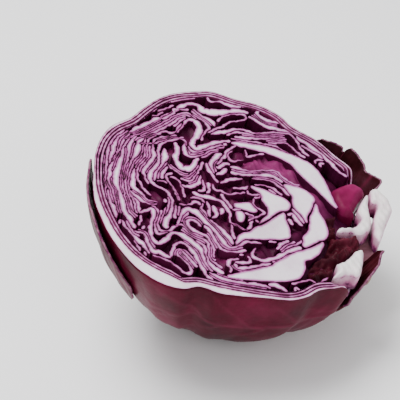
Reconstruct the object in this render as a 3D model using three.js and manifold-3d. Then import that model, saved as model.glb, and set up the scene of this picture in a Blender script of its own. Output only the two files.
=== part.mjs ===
// Halved red cabbage head, lying on its round side with the cut face up.
// Millimetres, +Z up. The origin is the middle of the bottom of the box round the half.
import * as THREE from "three";
import { mergeVertices } from "three/addons/utils/BufferGeometryUtils.js";
import Module from "manifold-3d";

const wasm = await Module();
wasm.setup();

// Driving dimensions
const HEAD_DEPTH = 80;
const TILT_TO_STALK = THREE.MathUtils.degToRad(13.76);
const TILT_TO_FRONT = THREE.MathUtils.degToRad(7.04);
const TUCK_SIDE = THREE.MathUtils.degToRad(205);
const ROUND_POWER = 2;
const TUCKED_POWER = 1.3;
const TUCK_STARTS = 0.3;
const TUCK_FULL = 0.9;
const FACE_CENTRE = new THREE.Vector3(-5.2, -5.3, 77.7);
const GAP = 0.35;
const BASE_THICKNESS = 5;
const WRAPPER_THICKNESS = 1.5;
const PACK_FLOOR = -12;
const ROOT = 3;
const STALK_RADIUS = 15;
const STALK_AXIS_V = 4;
const STALK_AXIS_W = -28;
const STALK_END_U = 87;
const STALK_HEART_U = 28;
const VEIN_HEIGHT = 0.9;
const SIDES_PER_VEIN = 5;
const LOOSE_LEAF_THICKNESS = 1.2;
const TORN_LEAF_THICKNESS = 1.3;
const LEAF_HOLD = 1.4;
const SIDES = 60;
const RINGS = 8;
const LEAF_STEPS = 26;
const LEAF_ROWS = 6;
const STALK_SIDES = 20;
const SLAB_WIDTH = 200;
const SLAB_HEIGHT = 40;

// The outer leaf's cut edge: u towards the stalk, v to the back, and its thickness there.
const OUTER_EDGE = [
  [-77.4, 2, 1.4], [-77.4, 15, 1.2], [-75, 29, 1.4], [-69.5, 41, 2], [-60, 50.5, 1.6], [-53.4, 60.5, 1.3],
  [-45, 72, 1.3], [-36, 79.8, 1.6], [-25, 85, 1.6], [-14, 88.3, 1.4], [0, 86, 1.4], [14, 85, 1.5],
  [26, 79.8, 1.4], [34, 71.8, 1.4], [48, 64.3, 1.4], [59, 54, 1.6], [68, 46, 1.6], [73.5, 34, 1.8],
  [76.5, 18, 2], [77, 0, 2], [76, -16, 2], [73, -33, 2], [67.5, -47.5, 1.8], [58, -54, 1.6],
  [49, -58, 1.8], [42, -65, 2], [33, -70, 2.2], [20, -72, 2.4], [6, -74.2, 4], [-5, -75.2, 5],
  [-16, -73.2, 3.6], [-24, -77, 6], [-33, -77.2, 8.6], [-42, -73.8, 8.4], [-51, -67.5, 7.2], [-59, -58, 5.4],
  [-66, -47, 4.6], [-71, -36, 4.2], [-75.2, -24, 3.6], [-77.2, -11, 2.4],
];
// The edge dips under the leaf stalks between these two sides of the stalk.
const DIP_FROM_V = -53;
const DIP_TO_V = 46;
const DIP_FROM_U = 62;
const DIP_BLEND = 10;
const DIP_DEPTH = 15;
const DIP_STEP = 0.6;

// Cut leaves of the packed heart: u, v and half the thickness, along each leaf from end to end.
const LEAVES = [
  // layers round the tip of the head, outermost first
  [[-42, 68, 0.4], [-49, 58, 0.4], [-56, 47, 0.4], [-63, 39, 0.4], [-68.8, 29, 0.7], [-70.4, 20, 0.8],
    [-70.6, 6, 0.5], [-70.3, -8, 0.4], [-68.6, -20, 0.4], [-65, -32, 0.4]],
  [[-60, 39, 0.4], [-65.3, 32, 0.5], [-67.3, 25, 1.1], [-68.2, 17, 1.1], [-69, 9, 0.5]],
  [[8, 76, 1], [2, 76, 1.2], [-5.4, 72.8, 1.8], [-12, 70.2, 2.6], [-18, 70, 2.6], [-21.5, 73.3, 1.3],
    [-25, 74, 1.1], [-30, 70.8, 1.3], [-34.5, 64.5, 1.7], [-39, 58.3, 2], [-45, 52.5, 2.1],
    [-51, 46.5, 1.7], [-56.5, 41, 1.3], [-61.3, 34, 0.8], [-63.6, 26, 0.7], [-65.4, 18, 0.8],
    [-67.5, 10, 0.8], [-68.3, 1, 0.9], [-68.3, -6, 0.7], [-65.8, -12, 0.6], [-64, -20, 0.5],
    [-61.4, -29, 0.4]],
  [[-68.5, -12, 0.6], [-67.5, -19, 0.5], [-64.4, -26, 1.2], [-62.8, -33, 0.6]],
  [[-58, 36, 0.4], [-61.6, 27, 0.5], [-62.6, 17, 1.1], [-63.8, 9, 1.6], [-64.9, 0, 1.6], [-64.4, -6, 1.3],
    [-62, -13, 1], [-60, -20, 1.6], [-58, -28, 1.1], [-54.5, -33.5, 1.2], [-52.3, -38.5, 0.7]],
  [[-55.5, 36.5, 0.4], [-58.5, 27, 0.9], [-59, 18, 0.8], [-60.9, 6, 0.5], [-61, -7, 0.4], [-58.4, -17, 0.5],
    [-56.4, -25, 0.5], [-52.5, -30.5, 0.4]],
  [[-47, 40.5, 0.4], [-53, 33.5, 0.8], [-54, 25.5, 1.5], [-56.2, 17.5, 0.8], [-58.6, 8, 0.4],
    [-59.3, -4, 0.4], [-57, -15, 0.4], [-54, -26, 0.4]],
  [[-55, 9, 0.4], [-55.8, 0, 1.2], [-54.6, -6, 1.3], [-50.3, -10.3, 0.8], [-46.5, -14.2, 0.5],
    [-40.8, -14.6, 0.4]],
  [[-57, -12, 0.4], [-53, -17, 0.9], [-51, -21.5, 1.1], [-50.3, -25, 0.8], [-47, -22.4, 1],
    [-44.2, -21.2, 1.1], [-42.9, -25, 1], [-44.2, -33, 0.8], [-43.2, -42, 0.9], [-40, -46, 1.1],
    [-36.3, -43.8, 1.6],
    [-33.5, -38.5, 1], [-30, -35.6, 0.8], [-26, -37.2, 1.5], [-20.5, -40.8, 1.6], [-16.3, -46, 1.1],
    [-13.5, -54, 0.9], [-9.5, -59.8, 0.7]],
  [[-49.8, 38.3, 0.4], [-51.3, 28, 0.4], [-52.2, 19.5, 0.5], [-55.3, 12, 0.4]],
  [[-37, 41.8, 0.4], [-44.5, 36.5, 0.5], [-46, 29, 0.5], [-44.7, 22, 1], [-48.3, 12.5, 1], [-49.8, 7, 0.9],
    [-47, -1.5, 0.4]],
  // the long leaf that runs from the middle to the tip and folds back
  [[-28.7, 43.3, 0.6], [-36.3, 38.6, 1], [-41.5, 33.5, 0.6], [-42.6, 26, 0.5], [-42.2, 18, 0.9],
    [-46, 9, 1.1], [-46.4, 3.5, 1.1], [-42, -1.8, 0.7], [-37, -3.7, 1], [-34.3, -8, 0.5], [-33, -16, 0.6],
    [-34.5, -23.5, 1.2], [-36.1, -29, 1.8], [-35.9, -33.8, 0.8]],
  [[-39.4, 30.5, 0.6], [-38.6, 24.5, 1.5], [-40, 17, 0.7], [-43, 9, 0.6], [-43.8, 2, 0.6]],
  [[-33.2, 37.5, 0.9], [-32.3, 30, 1.4], [-32.4, 22.5, 1.5], [-28.2, 17.3, 1.9], [-24.4, 18.3, 1.9],
    [-21.7, 24, 1.2], [-20, 28.3, 0.5]],
  [[-28, 39.5, 0.5], [-27.7, 32, 1.1], [-24.8, 27.8, 0.6], [-18.5, 31, 0.5], [-13, 36.5, 0.5],
    [-8.6, 38.6, 0.6]],
  // the folded leaf whose thick rib makes the long white arc
  [[-33, 46, 0.6], [-29.4, 53.5, 0.6], [-27.2, 59, 0.8], [-22.3, 59, 1.6], [-20.2, 54, 1.8],
    [-21.4, 47.5, 1.6],
    [-24, 39.5, 1.2], [-21.4, 35.8, 1.2], [-16, 40, 1.6], [-8.5, 45.7, 1], [-2, 47.9, 1.2], [8, 48.3, 1.2],
    [18, 48.8, 1.5], [28, 46.7, 2.1], [36, 42.7, 2.8], [42, 38.5, 3.9], [47.5, 32.5, 3.7], [51.8, 25, 1.9],
    [55.5, 16.5, 1.1], [58, 12, 0.7]],
  [[-13.5, 50.5, 0.4], [-6.2, 54.7, 1.3], [3, 60.2, 0.6], [12, 59.3, 0.7], [21, 62.3, 0.6], [31.5, 64.9, 0.6],
    [36, 60, 0.6], [39, 53, 0.8], [43.6, 48.9, 0.5]],
  [[0, 52.3, 0.9], [8, 53.6, 0.8], [18.5, 56.5, 0.6], [30.5, 59.5, 0.4]],
  [[19.5, 53, 0.5], [30.5, 55.8, 0.5], [35.5, 50.7, 0.5], [41.3, 46.6, 0.5]],
  [[-9.6, 62.5, 0.7], [-7.4, 67.5, 0.5], [-2, 71.4, 0.5], [5.6, 73.4, 0.5], [5.4, 68.8, 0.5], [-2, 65, 0.6],
    [-7.5, 59, 0.5], [-15.4, 51.5, 0.5]],
  [[-24.5, 69.5, 0.5], [-19.5, 65, 0.6], [-13.3, 61.8, 1.1], [-11.4, 58, 0.5]],
  [[-25, 64, 0.4], [-18.5, 61.3, 0.5], [-14.7, 56.3, 0.6], [-17.8, 48.5, 0.5], [-18.8, 43.5, 0.4]],
  [[-45, 69, 0.6], [-40, 72.6, 0.7], [-31, 77.6, 0.5], [-22.5, 82.6, 0.5]],
  [[-16.5, 82.5, 0.7], [-15, 79.2, 0.7], [-9, 80.3, 0.6], [-4, 79.3, 1], [2, 79.7, 0.9], [10, 82.6, 0.7]],
  [[15.5, 81.5, 0.7], [12.8, 77, 0.7], [15.5, 74.2, 1.1], [20, 72.8, 1.2], [29, 71.9, 0.6], [34, 68.7, 0.6],
    [42.5, 63, 0.7], [50, 57.3, 0.8], [57, 51.8, 0.6]],
  [[8, 73, 1], [12, 71, 1], [16.5, 67.8, 1.3], [25.5, 66.7, 1.2], [33.5, 66.2, 1], [39.5, 61.8, 1.5],
    [46.3, 56.2, 1.2], [52.5, 51.8, 1.2], [55.6, 47.5, 1.4], [59.5, 42.3, 0.9], [65.5, 37.6, 0.9]],
  [[61, 49, 0.7], [65.8, 48.8, 1], [68.8, 43.5, 0.9], [71, 38.5, 0.9]],
  // small leaves in the middle of the heart
  [[-36.8, 16, 0.5], [-39.2, 11.5, 0.9], [-39.8, 5, 0.5]],
  [[-37, 18.3, 0.4], [-34.6, 15.4, 0.4], [-28, 11.5, 0.6], [-23.5, 13.5, 0.5], [-19.6, 22.5, 0.4]],
  [[-34, 11.5, 0.4], [-37.6, 7.5, 0.4], [-34, 1.5, 0.4], [-31, -4.5, 0.5], [-29.4, -10, 0.6]],
  [[-35.4, 7.6, 0.4], [-32, 7.6, 0.4], [-28.4, 1.5, 0.4], [-26.4, -6.5, 0.4]],
  [[-29.5, 8.6, 0.6], [-24.2, 7.6, 0.6], [-20.9, 13.5, 0.5], [-17.2, 25.8, 0.5]],
  [[-29, 3.6, 0.4], [-24, 3, 1.1], [-19.4, 7.5, 1], [-18.2, 14.5, 0.4]],
  [[-15.3, 25.5, 0.5], [-14, 20, 0.9], [-8.3, 11, 0.5]],
  [[-6.8, 36, 1.1], [-11, 30.5, 1.6], [-12.6, 25.5, 0.9], [-10.7, 18, 0.4]],
  [[1.5, 46, 0.4], [-3.2, 39.5, 0.6], [-6.3, 32.3, 0.9], [-9.6, 26, 0.4]],
  [[-0.8, 40.2, 0.4], [-3.5, 35.5, 0.5], [-1, 31.6, 0.5], [6, 34.2, 0.4]],
  [[6.4, 43.5, 0.4], [7.6, 37.5, 0.5], [11.5, 40, 0.7], [17.5, 43, 0.5]],
  [[-9.6, 17.2, 0.5], [-5.4, 20.8, 1.3], [-3.9, 24.2, 0.7]],
  [[-7, 10.8, 0.5], [-2.5, 15.2, 1.2], [5.5, 18.2, 0.5]],
  [[-2, 26.5, 0.5], [1.5, 26.7, 1.1], [9, 26, 0.5], [17, 28.8, 0.6], [24.3, 30.4, 0.6], [28.6, 26.2, 0.7],
    [34, 22.8, 0.6], [38, 22.9, 0.4]],
  [[-1.6, 21.6, 1], [5, 21.6, 0.7], [14.5, 24.2, 0.9], [21, 26.2, 1.5], [25.2, 24.4, 0.8], [28.4, 22.2, 0.7]],
  [[10.5, 20.2, 0.6], [20.5, 21.4, 0.6], [27.3, 17.2, 0.8], [32, 11.9, 0.7]],
  [[12, 15.6, 0.5], [20.5, 16.2, 0.5], [28, 11.3, 0.4]],
  [[-22.6, -0.8, 0.7], [-17.5, -2.6, 1.2], [-12, -2.3, 1.3], [-6.5, -3.9, 0.7], [-1.4, -11.2, 0.7],
    [-0.9, -18.5, 0.5], [4, -20.8, 0.8], [7.6, -22.8, 0.7]],
  [[-6.8, 2.2, 0.9], [-2.6, -3.4, 0.7], [0, -8.2, 0.5]],
  [[11.8, 4, 0.6], [12.3, -1.4, 0.5], [18, -6, 0.5], [12.5, -11, 0.6], [9, -11.9, 0.5]],
  [[11.5, -14.2, 0.5], [10.3, -18, 0.9], [8.6, -22.2, 0.6]],
  // folds of the lower middle
  [[-38.4, -20, 0.4], [-40.3, -30, 0.5], [-39, -36, 0.5], [-34, -34.6, 0.5], [-29.2, -28, 0.6],
    [-27.8, -20, 0.7], [-24.7, -15.4, 1.4], [-20.3, -16, 1.9], [-15.5, -20.9, 1.2], [-9.8, -27, 1],
    [-4.7, -34.3, 1.5], [-0.5, -38.9, 0.7], [4.5, -35.4, 0.6], [9.3, -31.6, 0.8], [17, -30.5, 0.6]],
  [[-12.5, -20.3, 0.4], [-7.2, -24.2, 1], [-2.3, -30.3, 1.4], [0.9, -36, 0.6]],
  [[-16.6, -26.8, 0.8], [-21, -22.6, 1], [-25, -25.3, 1.2], [-20.7, -31, 1.2], [-13.3, -33.6, 0.7],
    [-9.8, -41, 0.6], [-9.2, -49, 0.6]],
  [[-15.3, -25.2, 0.5], [-11.4, -29.5, 1], [-6.6, -39.3, 0.7], [-2, -42.2, 0.5], [8.5, -38.6, 0.7]],
  [[-27, -30.5, 0.5], [-21.5, -35, 0.5], [-14.5, -36.7, 0.7], [-12, -42.5, 0.7], [-11.5, -50, 0.5],
    [-4.5, -56, 0.6]],
  [[-19.5, -38.5, 0.4], [-14.2, -41.6, 0.8], [-13.2, -48.5, 0.6], [-10.3, -55.7, 1.4], [-3.4, -59.6, 0.9]],
  [[-53, -40.8, 0.5], [-47.3, -40.8, 0.8], [-44.7, -47.5, 0.8], [-42, -52.6, 1], [-38, -52.8, 1.5],
    [-33.2, -55, 0.8], [-31.3, -48.5, 0.7], [-28.5, -42.5, 0.7], [-24.2, -43.5, 0.9], [-19.8, -48.3, 1.1],
    [-16.5, -56, 0.9], [-13, -63, 0.8], [-8, -66.6, 1.1], [0, -67.8, 0.8], [10, -66.5, 0.8], [22, -66.9, 1],
    [29, -66.6, 0.5]],
  [[-17.8, -58.6, 1], [-22.2, -53.4, 0.7], [-27.3, -47.8, 0.5], [-28.7, -52.2, 0.5], [-22.3, -58.3, 0.6],
    [-21.2, -63.6, 0.8], [-25, -64.6, 0.7], [-30.8, -59.4, 0.6], [-42, -56, 0.4]],
  [[-11.6, -60.6, 0.5], [-6, -63.2, 1], [4, -64.2, 0.8], [17, -62.8, 1], [22, -64, 0.4]],
  [[20.5, -61, 0.8], [27, -61.2, 1.5], [31, -64.2, 0.7]],
  [[30, -67.3, 0.4], [34.3, -64.4, 0.8], [35.6, -60, 0.8], [39.5, -61.7, 1], [46.5, -57.6, 1.1],
    [51.5, -51.8, 1]],
  [[2, -50.3, 1], [4.2, -53.5, 1.1], [12, -50.2, 0.8], [22, -44.8, 0.8]],
  [[38.6, -27.6, 1], [31.5, -32.8, 1.2], [24, -40.2, 1.3], [15.6, -43.9, 1], [11.7, -40.4, 0.8],
    [13.5, -35, 0.4]],
  [[24.8, -33, 0.8], [28, -27.6, 0.8], [31.8, -24.4, 0.7]],
  [[31, -4, 0.7], [33.6, -2.2, 0.8], [36.4, -7.6, 1], [39.5, -10.6, 0.9]],
];

// Cut faces of the thick white midribs, as closed outlines.
const MIDRIBS = [
  [[10.6, 13.4], [18.5, 12.2], [27.5, 9.4], [32.2, 4.6], [30.4, 0.3], [24.7, -4.6], [20, -11], [15, -15.6],
    [19.8, -8.2], [20.6, -2], [16.7, 4.8], [14.8, 9.8]],
  [[28.6, -2.8], [30, -9], [31.6, -17], [30.8, -22.2], [21, -25.8], [8, -29.2], [3, -35.6], [4.4, -28.5],
    [10.8, -22.4], [17.5, -15.2], [24.2, -7.2]],
  [[29.5, 20.2], [37.5, 19.8], [43.2, 17], [45.9, 12], [44.3, 3], [41.8, -1.5], [41.8, -7], [38.6, -1.6],
    [34.6, 3.2], [34, 11], [31.2, 15.5]],
  [[46.8, 9.6], [48.4, 2.5], [51.8, -4.5], [52.8, -13.8], [48.4, -20.4], [40.6, -26.4], [40.2, -20],
    [43.6, -12.6], [43.6, -4], [44.8, 3]],
  [[40, -37.6], [39.8, -44], [36.6, -51.8], [28, -56.2], [12, -59.6], [-1, -61], [8, -55.6], [20.5, -47.4],
    [29.4, -39.6], [34, -34.4], [43, -27.8], [50.4, -20.2], [48.4, -28.4], [44, -34.6]],
];

// Cut stumps of leaf stalks that stand round the end of the head's own stalk.
const INNER_LEAF_STALK = [
  [77.3, 26.5], [74.2, 21.4], [71.4, 12.5], [73.2, 7.6], [71.8, 2.4], [67.5, -2], [61.2, -3.2], [60, -7.4],
  [67, -5.6], [73.4, -5.8], [77.6, -1.4], [79.1, 4], [77.8, 16],
];
const OUTER_LEAF_STALK = [
  [79, 30.4], [84, 31.3], [88.6, 27], [91.3, 18.5], [88, 7], [85.6, -3], [83.6, -8.6], [81, -3], [80.6, 8],
  [83, 19.6], [79.2, 21.6],
];
const LOWER_LEAF_STALK = [
  [58.8, -33.6], [64.5, -28.5], [70, -19.7], [74, -19.6], [73.4, -30], [71, -39.6], [64.4, -40.4],
  [56.6, -45.2], [58.8, -39],
];
const CUPPED_LEAF = [
  [60.5, 11], [56.8, 20], [57, 26], [62, 31], [68, 34.2], [73, 33.4], [76.2, 29.6], [72.6, 22], [69.8, 14],
  [69.8, 9.6], [65, 8.4],
];
const RUFFLED_LEAF = [
  [53.6, 3.5], [58.4, 4.6], [59.2, -8.8], [69.5, -8], [73.6, -11.4], [68.4, -17.8], [62.6, -27.4],
  [57.4, -33.6], [55.4, -43.5], [45.6, -49], [43.8, -40.4], [51.8, -27.4], [55, -16],
];

// Crests of the leaves that stand off the head: degrees round the face from the stalk end, how far
// the leaf stands off the outer leaf there, and its height over the cut face.
const LOOSE_LEAF_CREST = [
  [170, 1.4, -4], [176, 1.7, -1], [185, 2, 0], [195, 2.4, 0], [205, 3, 0], [213, 3.3, -2.5], [219, 2.9, -7],
  [225, 2.3, -13], [231, 1.5, -20],
];
const TORN_LEAF_BACK_CREST = [
  [55.5, 1.5, -5], [52.6, 1.8, 0], [50.6, 4.2, 0], [47.9, 6.9, 0], [45, 8.5, 0], [43.9, 8.8, -2.5],
  [42.9, 12.2, 0], [40.3, 12.2, 0], [36.6, 10, 0], [33.1, 8.1, 0], [31.6, 7.8, -1.5], [28.1, 9.8, 0],
  [24.5, 12.2, 0.5], [23.2, 8, -4], [22, 3, -10],
];
const TORN_LEAF_FRONT_CREST = [
  [351.5, 6, -6], [350, 8.8, -2], [347, 7.6, -1], [343, 7.8, -3], [340, 6.6, -3], [336.5, 5, -6],
  [333, 3.4, -11], [330, 1.6, -17],
];

const half = new THREE.Group();
half.rotation.order = "YXZ";
half.rotation.y = TILT_TO_STALK;
half.rotation.x = TILT_TO_FRONT;
half.position.copy(FACE_CENTRE);
half.updateMatrixWorld(true);

function solidFrom(positions, triangles) {
  const geometry = new THREE.BufferGeometry();
  geometry.setAttribute("position", new THREE.Float32BufferAttribute(positions, 3));
  geometry.setIndex(triangles);
  return solidOf(geometry);
}

function solidOf(geometry) {
  geometry.deleteAttribute("normal");
  geometry.deleteAttribute("uv");
  const merged = mergeVertices(geometry, 1e-4);
  return new wasm.Manifold(new wasm.Mesh({
    numProp: 3,
    vertProperties: new Float32Array(merged.attributes.position.array),
    triVerts: new Uint32Array(merged.index.array),
  }));
}

function addPiece(name, solid, colour, roughness) {
  const mesh = solid.getMesh();
  const geometry = new THREE.BufferGeometry();
  geometry.setAttribute("position", new THREE.Float32BufferAttribute(mesh.vertProperties, 3));
  geometry.setIndex(Array.from(mesh.triVerts));
  geometry.computeVertexNormals();
  const piece = new THREE.Mesh(geometry, new THREE.MeshStandardMaterial({ color: colour, roughness }));
  piece.name = name;
  half.add(piece);
}

function closedCurve(points) {
  const corners = points.map(([u, v, t = 0]) => new THREE.Vector3(u, v, t));
  return new THREE.CatmullRomCurve3(corners, true, "catmullrom", 0.5);
}

function smoothStep(value, low, high) {
  return THREE.MathUtils.smoothstep(value, low, high);
}

// How far the edge of the wrapped leaves dips under the cut face, at a place on it.
function dipAt(u, v) {
  const pastFront = smoothStep(v, DIP_FROM_V, DIP_FROM_V + DIP_BLEND);
  const beforeBack = 1 - smoothStep(v, DIP_TO_V - DIP_BLEND, DIP_TO_V);
  return DIP_DEPTH * pastFront * beforeBack * smoothStep(u, DIP_FROM_U - DIP_BLEND, DIP_FROM_U);
}

// The edge moved inwards by a share of the outer leaf's thickness and a distance.
function edgeInside(count, thicknessShare, distance) {
  const curve = closedCurve(OUTER_EDGE);
  const edge = [];
  for (let i = 0; i < count; i += 1) {
    const point = curve.getPoint(i / count);
    const tangent = curve.getTangent(i / count);
    const inward = new THREE.Vector2(tangent.y, -tangent.x).normalize();
    const step = point.z * thicknessShare + distance;
    edge.push(new THREE.Vector2(point.x + inward.x * step, point.y + inward.y * step));
  }
  return edge;
}

// The share of its width that the head keeps, on a side of it and at a share of its depth. It is
// round all over, and drawn in more under the tip.
function widthKept(turn, depthShare) {
  const tucked = smoothStep(Math.cos(turn - TUCK_SIDE), TUCK_STARTS, TUCK_FULL);
  const power = ROUND_POWER - (ROUND_POWER - TUCKED_POWER) * tucked;
  return Math.sqrt(1 - THREE.MathUtils.clamp(depthShare, 0, 1) ** power);
}

// A place on a bowl that hangs from an edge: down runs from 0 at the cut face to 1 at the pole.
function bowlPoint(rim, depth, down, lowering) {
  const angle = down * Math.PI / 2;
  const level = -Math.max(depth * Math.sin(angle), lowering);
  const inset = widthKept(Math.atan2(rim.y, rim.x), -level / depth);
  return new THREE.Vector3(rim.x * inset, rim.y * inset, level);
}

// Veins stand out of the outer leaf as ridges that run down from the cut edge.
function veinRelief(side, down) {
  return side % SIDES_PER_VEIN === 0 ? VEIN_HEIGHT * Math.sin(Math.min(down * 3, 1) * Math.PI / 2) : 0;
}

function bowl(outerEdge, innerEdge, outerDepth, innerDepth, rings, veined) {
  const sides = outerEdge.length;
  const positions = [];
  const triangles = [];
  const skins = [
    { edge: outerEdge, depth: outerDepth },
    { edge: innerEdge, depth: innerDepth },
  ];
  const poles = [];
  for (const [index, skin] of skins.entries()) {
    for (let ring = 0; ring < rings; ring += 1) {
      for (let i = 0; i < sides; i += 1) {
        const down = ring / rings;
        const rim = skin.edge[i];
        const dip = dipAt(outerEdge[i].x, outerEdge[i].y);
        const point = bowlPoint(rim, skin.depth, down, dip + ring * DIP_STEP);
        if (veined && index === 0 && ring > 0) {
          point.multiplyScalar(1 + veinRelief(i, down) / HEAD_DEPTH);
        }
        positions.push(point.x, point.y, point.z);
      }
    }
    poles.push(positions.length / 3);
    positions.push(0, 0, -skin.depth);
  }
  const start = rings * sides + 1;
  for (let i = 0; i < sides; i += 1) {
    const next = (i + 1) % sides;
    triangles.push(i, start + i, next, next, start + i, start + next);
    for (let ring = 0; ring < rings - 1; ring += 1) {
      const a = ring * sides + i;
      const b = ring * sides + next;
      triangles.push(a, b, a + sides, b, b + sides, a + sides);
      triangles.push(start + a, start + a + sides, start + b);
      triangles.push(start + b, start + a + sides, start + b + sides);
    }
    const last = (rings - 1) * sides;
    triangles.push(last + i, last + next, poles[0]);
    triangles.push(start + last + i, poles[1], start + last + next);
  }
  return solidFrom(positions, triangles);
}

// The outer leaf's cut edge, as many places round it, to look up by direction.
const rimPlaces = closedCurve(OUTER_EDGE).getPoints(OUTER_EDGE.length * 8);

function rimRadius(turn) {
  let best = rimPlaces[0];
  let bestMatch = -1;
  for (const place of rimPlaces) {
    const match = Math.cos(Math.atan2(place.y, place.x) - turn);
    if (match > bestMatch) {
      bestMatch = match;
      best = place;
    }
  }
  return Math.hypot(best.x, best.y);
}

// A closed thin solid between two grids of places, split into triangles alike on both faces.
function sheet(outside, inside, columns, rows) {
  const positions = [...outside, ...inside].flatMap((place) => [place.x, place.y, place.z]);
  const back = outside.length;
  const triangles = [];
  const across = rows + 1;
  const wall = (a, b) => triangles.push(a, b, back + a, b, back + b, back + a);
  for (let column = 0; column < columns; column += 1) {
    for (let row = 0; row < rows; row += 1) {
      const a = column * across + row;
      const b = a + across;
      triangles.push(a, a + 1, b, b, a + 1, b + 1);
      triangles.push(back + a, back + b, back + a + 1, back + b, back + b + 1, back + a + 1);
    }
    wall(column * across, (column + 1) * across);
    wall((column + 1) * across + rows, column * across + rows);
  }
  for (let row = 0; row < rows; row += 1) {
    wall(row + 1, row);
    wall(columns * across + row, columns * across + row + 1);
  }
  const solid = solidFrom(positions, triangles);
  return solid.volume() > 0 ? solid : solidFrom(positions, triangles.toReversed());
}

// A leaf that stands off the head, from its crest down to where it lies on the outer leaf. Its
// folds run down from the crest and fade out towards the hold.
function standingLeaf({ crest, depth, thickness, fold, folds }) {
  const corners = crest.map(([degrees, off, height]) => new THREE.Vector3(degrees, off, height));
  const line = new THREE.CatmullRomCurve3(corners, false, "catmullrom", 0.5);
  const faces = [thickness, 0].map((lift) => {
    const places = [];
    for (let column = 0; column <= LEAF_STEPS; column += 1) {
      const top = line.getPoint(column / LEAF_STEPS);
      const turn = THREE.MathUtils.degToRad(top.x);
      const radius = rimRadius(turn);
      for (let row = 0; row <= LEAF_ROWS; row += 1) {
        const down = row / LEAF_ROWS;
        const free = (1 - down) ** 1.3;
        const level = top.z + (-depth - top.z) * down;
        const bend = fold * Math.sin(column / LEAF_STEPS * folds) * free * down * 3;
        const inset = widthKept(turn, -level / HEAD_DEPTH);
        const out = radius * inset + LEAF_HOLD + (top.y - LEAF_HOLD) * free + bend + lift;
        places.push(new THREE.Vector3(out * Math.cos(turn), out * Math.sin(turn), level - lift * down / 2));
      }
    }
    return places;
  });
  return sheet(faces[0], faces[1], LEAF_STEPS, LEAF_ROWS);
}

// A prism of a flat outline, from a low level to a high one.
function prism(outline, low, high) {
  const shape = new THREE.Shape(outline);
  const geometry = new THREE.ExtrudeGeometry(shape, { depth: high - low, bevelEnabled: false, steps: 1 });
  geometry.translate(0, 0, low);
  return solidOf(geometry);
}

function smoothPrism(points, perPoint, low, high) {
  const curve = closedCurve(points);
  const count = points.length * perPoint;
  const outline = [];
  for (let i = 0; i < count; i += 1) {
    const point = curve.getPoint(i / count);
    outline.push(new THREE.Vector2(point.x, point.y));
  }
  return prism(outline, low, high);
}

// A fleshy piece with upright sides and a rounded top, from its outline. Relief gives the height
// of its top at each place on it.
function roundedPiece(points, low, shoulder, rounding, relief) {
  const curve = closedCurve(points);
  const sides = points.length * 3;
  const rim = curve.getPoints(sides).slice(0, sides);
  const middle = rim.reduce((sum, place) => sum.add(place), new THREE.Vector3()).divideScalar(sides);
  const levels = [{ keep: 1, height: low, flat: true }];
  for (const [keep, height] of rounding) levels.push({ keep, height: shoulder + height, flat: false });
  const positions = [];
  const triangles = [];
  for (const { keep, height, flat } of levels) {
    for (const place of rim) {
      const u = middle.x + (place.x - middle.x) * keep;
      const v = middle.y + (place.y - middle.y) * keep;
      positions.push(u, v, flat ? height : height + relief(u, v));
    }
  }
  const top = positions.length / 3;
  const last = levels.at(-1).height;
  positions.push(middle.x, middle.y, last + relief(middle.x, middle.y));
  const bottom = top + 1;
  positions.push(middle.x, middle.y, low);
  for (let side = 0; side < sides; side += 1) {
    const next = (side + 1) % sides;
    triangles.push(bottom, side, next);
    for (let level = 0; level < levels.length - 1; level += 1) {
      const a = level * sides + side;
      const b = level * sides + next;
      triangles.push(a, a + sides, b, b, a + sides, b + sides);
    }
    const end = (levels.length - 1) * sides;
    triangles.push(end + side, top, end + next);
  }
  const solid = solidFrom(positions, triangles);
  return solid.volume() > 0 ? solid : solidFrom(positions, triangles.toReversed());
}

// The outline of a cut leaf, from its line and half thickness.
function leafOutline(leaf) {
  const line = leaf.map(([u, v]) => new THREE.Vector2(u, v));
  const left = [];
  const right = [];
  line.forEach((point, i) => {
    const before = line[Math.max(i - 1, 0)];
    const after = line[Math.min(i + 1, line.length - 1)];
    const along = after.clone().sub(before).normalize();
    const across = new THREE.Vector2(-along.y, along.x).multiplyScalar(leaf[i][2]);
    left.push(point.clone().add(across));
    right.push(point.clone().sub(across));
  });
  return [...left, ...right.reverse()];
}

// The head's stalk: a cut end outside, narrowing to the heart inside.
function stalk(growth) {
  const profile = [
    [STALK_HEART_U - growth, 0], [STALK_HEART_U - growth, 4 + growth], [48, 10.5 + growth],
    [66, STALK_RADIUS - 1 + growth], [STALK_END_U - 5, STALK_RADIUS + growth],
    [STALK_END_U + growth, STALK_RADIUS - 1.5 + growth], [STALK_END_U + growth, 0],
  ];
  const lathe = new THREE.LatheGeometry(profile.map(([u, r]) => new THREE.Vector2(r, u)), STALK_SIDES);
  lathe.rotateZ(-Math.PI / 2);
  lathe.translate(0, STALK_AXIS_V, STALK_AXIS_W);
  return solidOf(lathe);
}

// A wide slab, to cut pieces off level.
function slab(middleHeight) {
  const box = new THREE.BoxGeometry(SLAB_WIDTH, SLAB_WIDTH, SLAB_HEIGHT);
  box.translate(0, 0, middleHeight);
  return box;
}

// What lies under the surface that the half rests on, in the cut face's own frame.
function underFloor() {
  return solidOf(slab(-SLAB_HEIGHT / 2).applyMatrix4(half.matrixWorld.clone().invert()));
}

const stalkHole = stalk(GAP);
const outerEdge = edgeInside(SIDES, 0, 0);
const outerInside = edgeInside(SIDES, 1, 0);
const wrappedLeaf = bowl(outerEdge, outerInside, HEAD_DEPTH, HEAD_DEPTH - BASE_THICKNESS, RINGS, true);
addPiece("outer_leaf", wrappedLeaf.subtract(stalkHole).subtract(underFloor()), 0x5a1f3a, 0.45);

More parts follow.
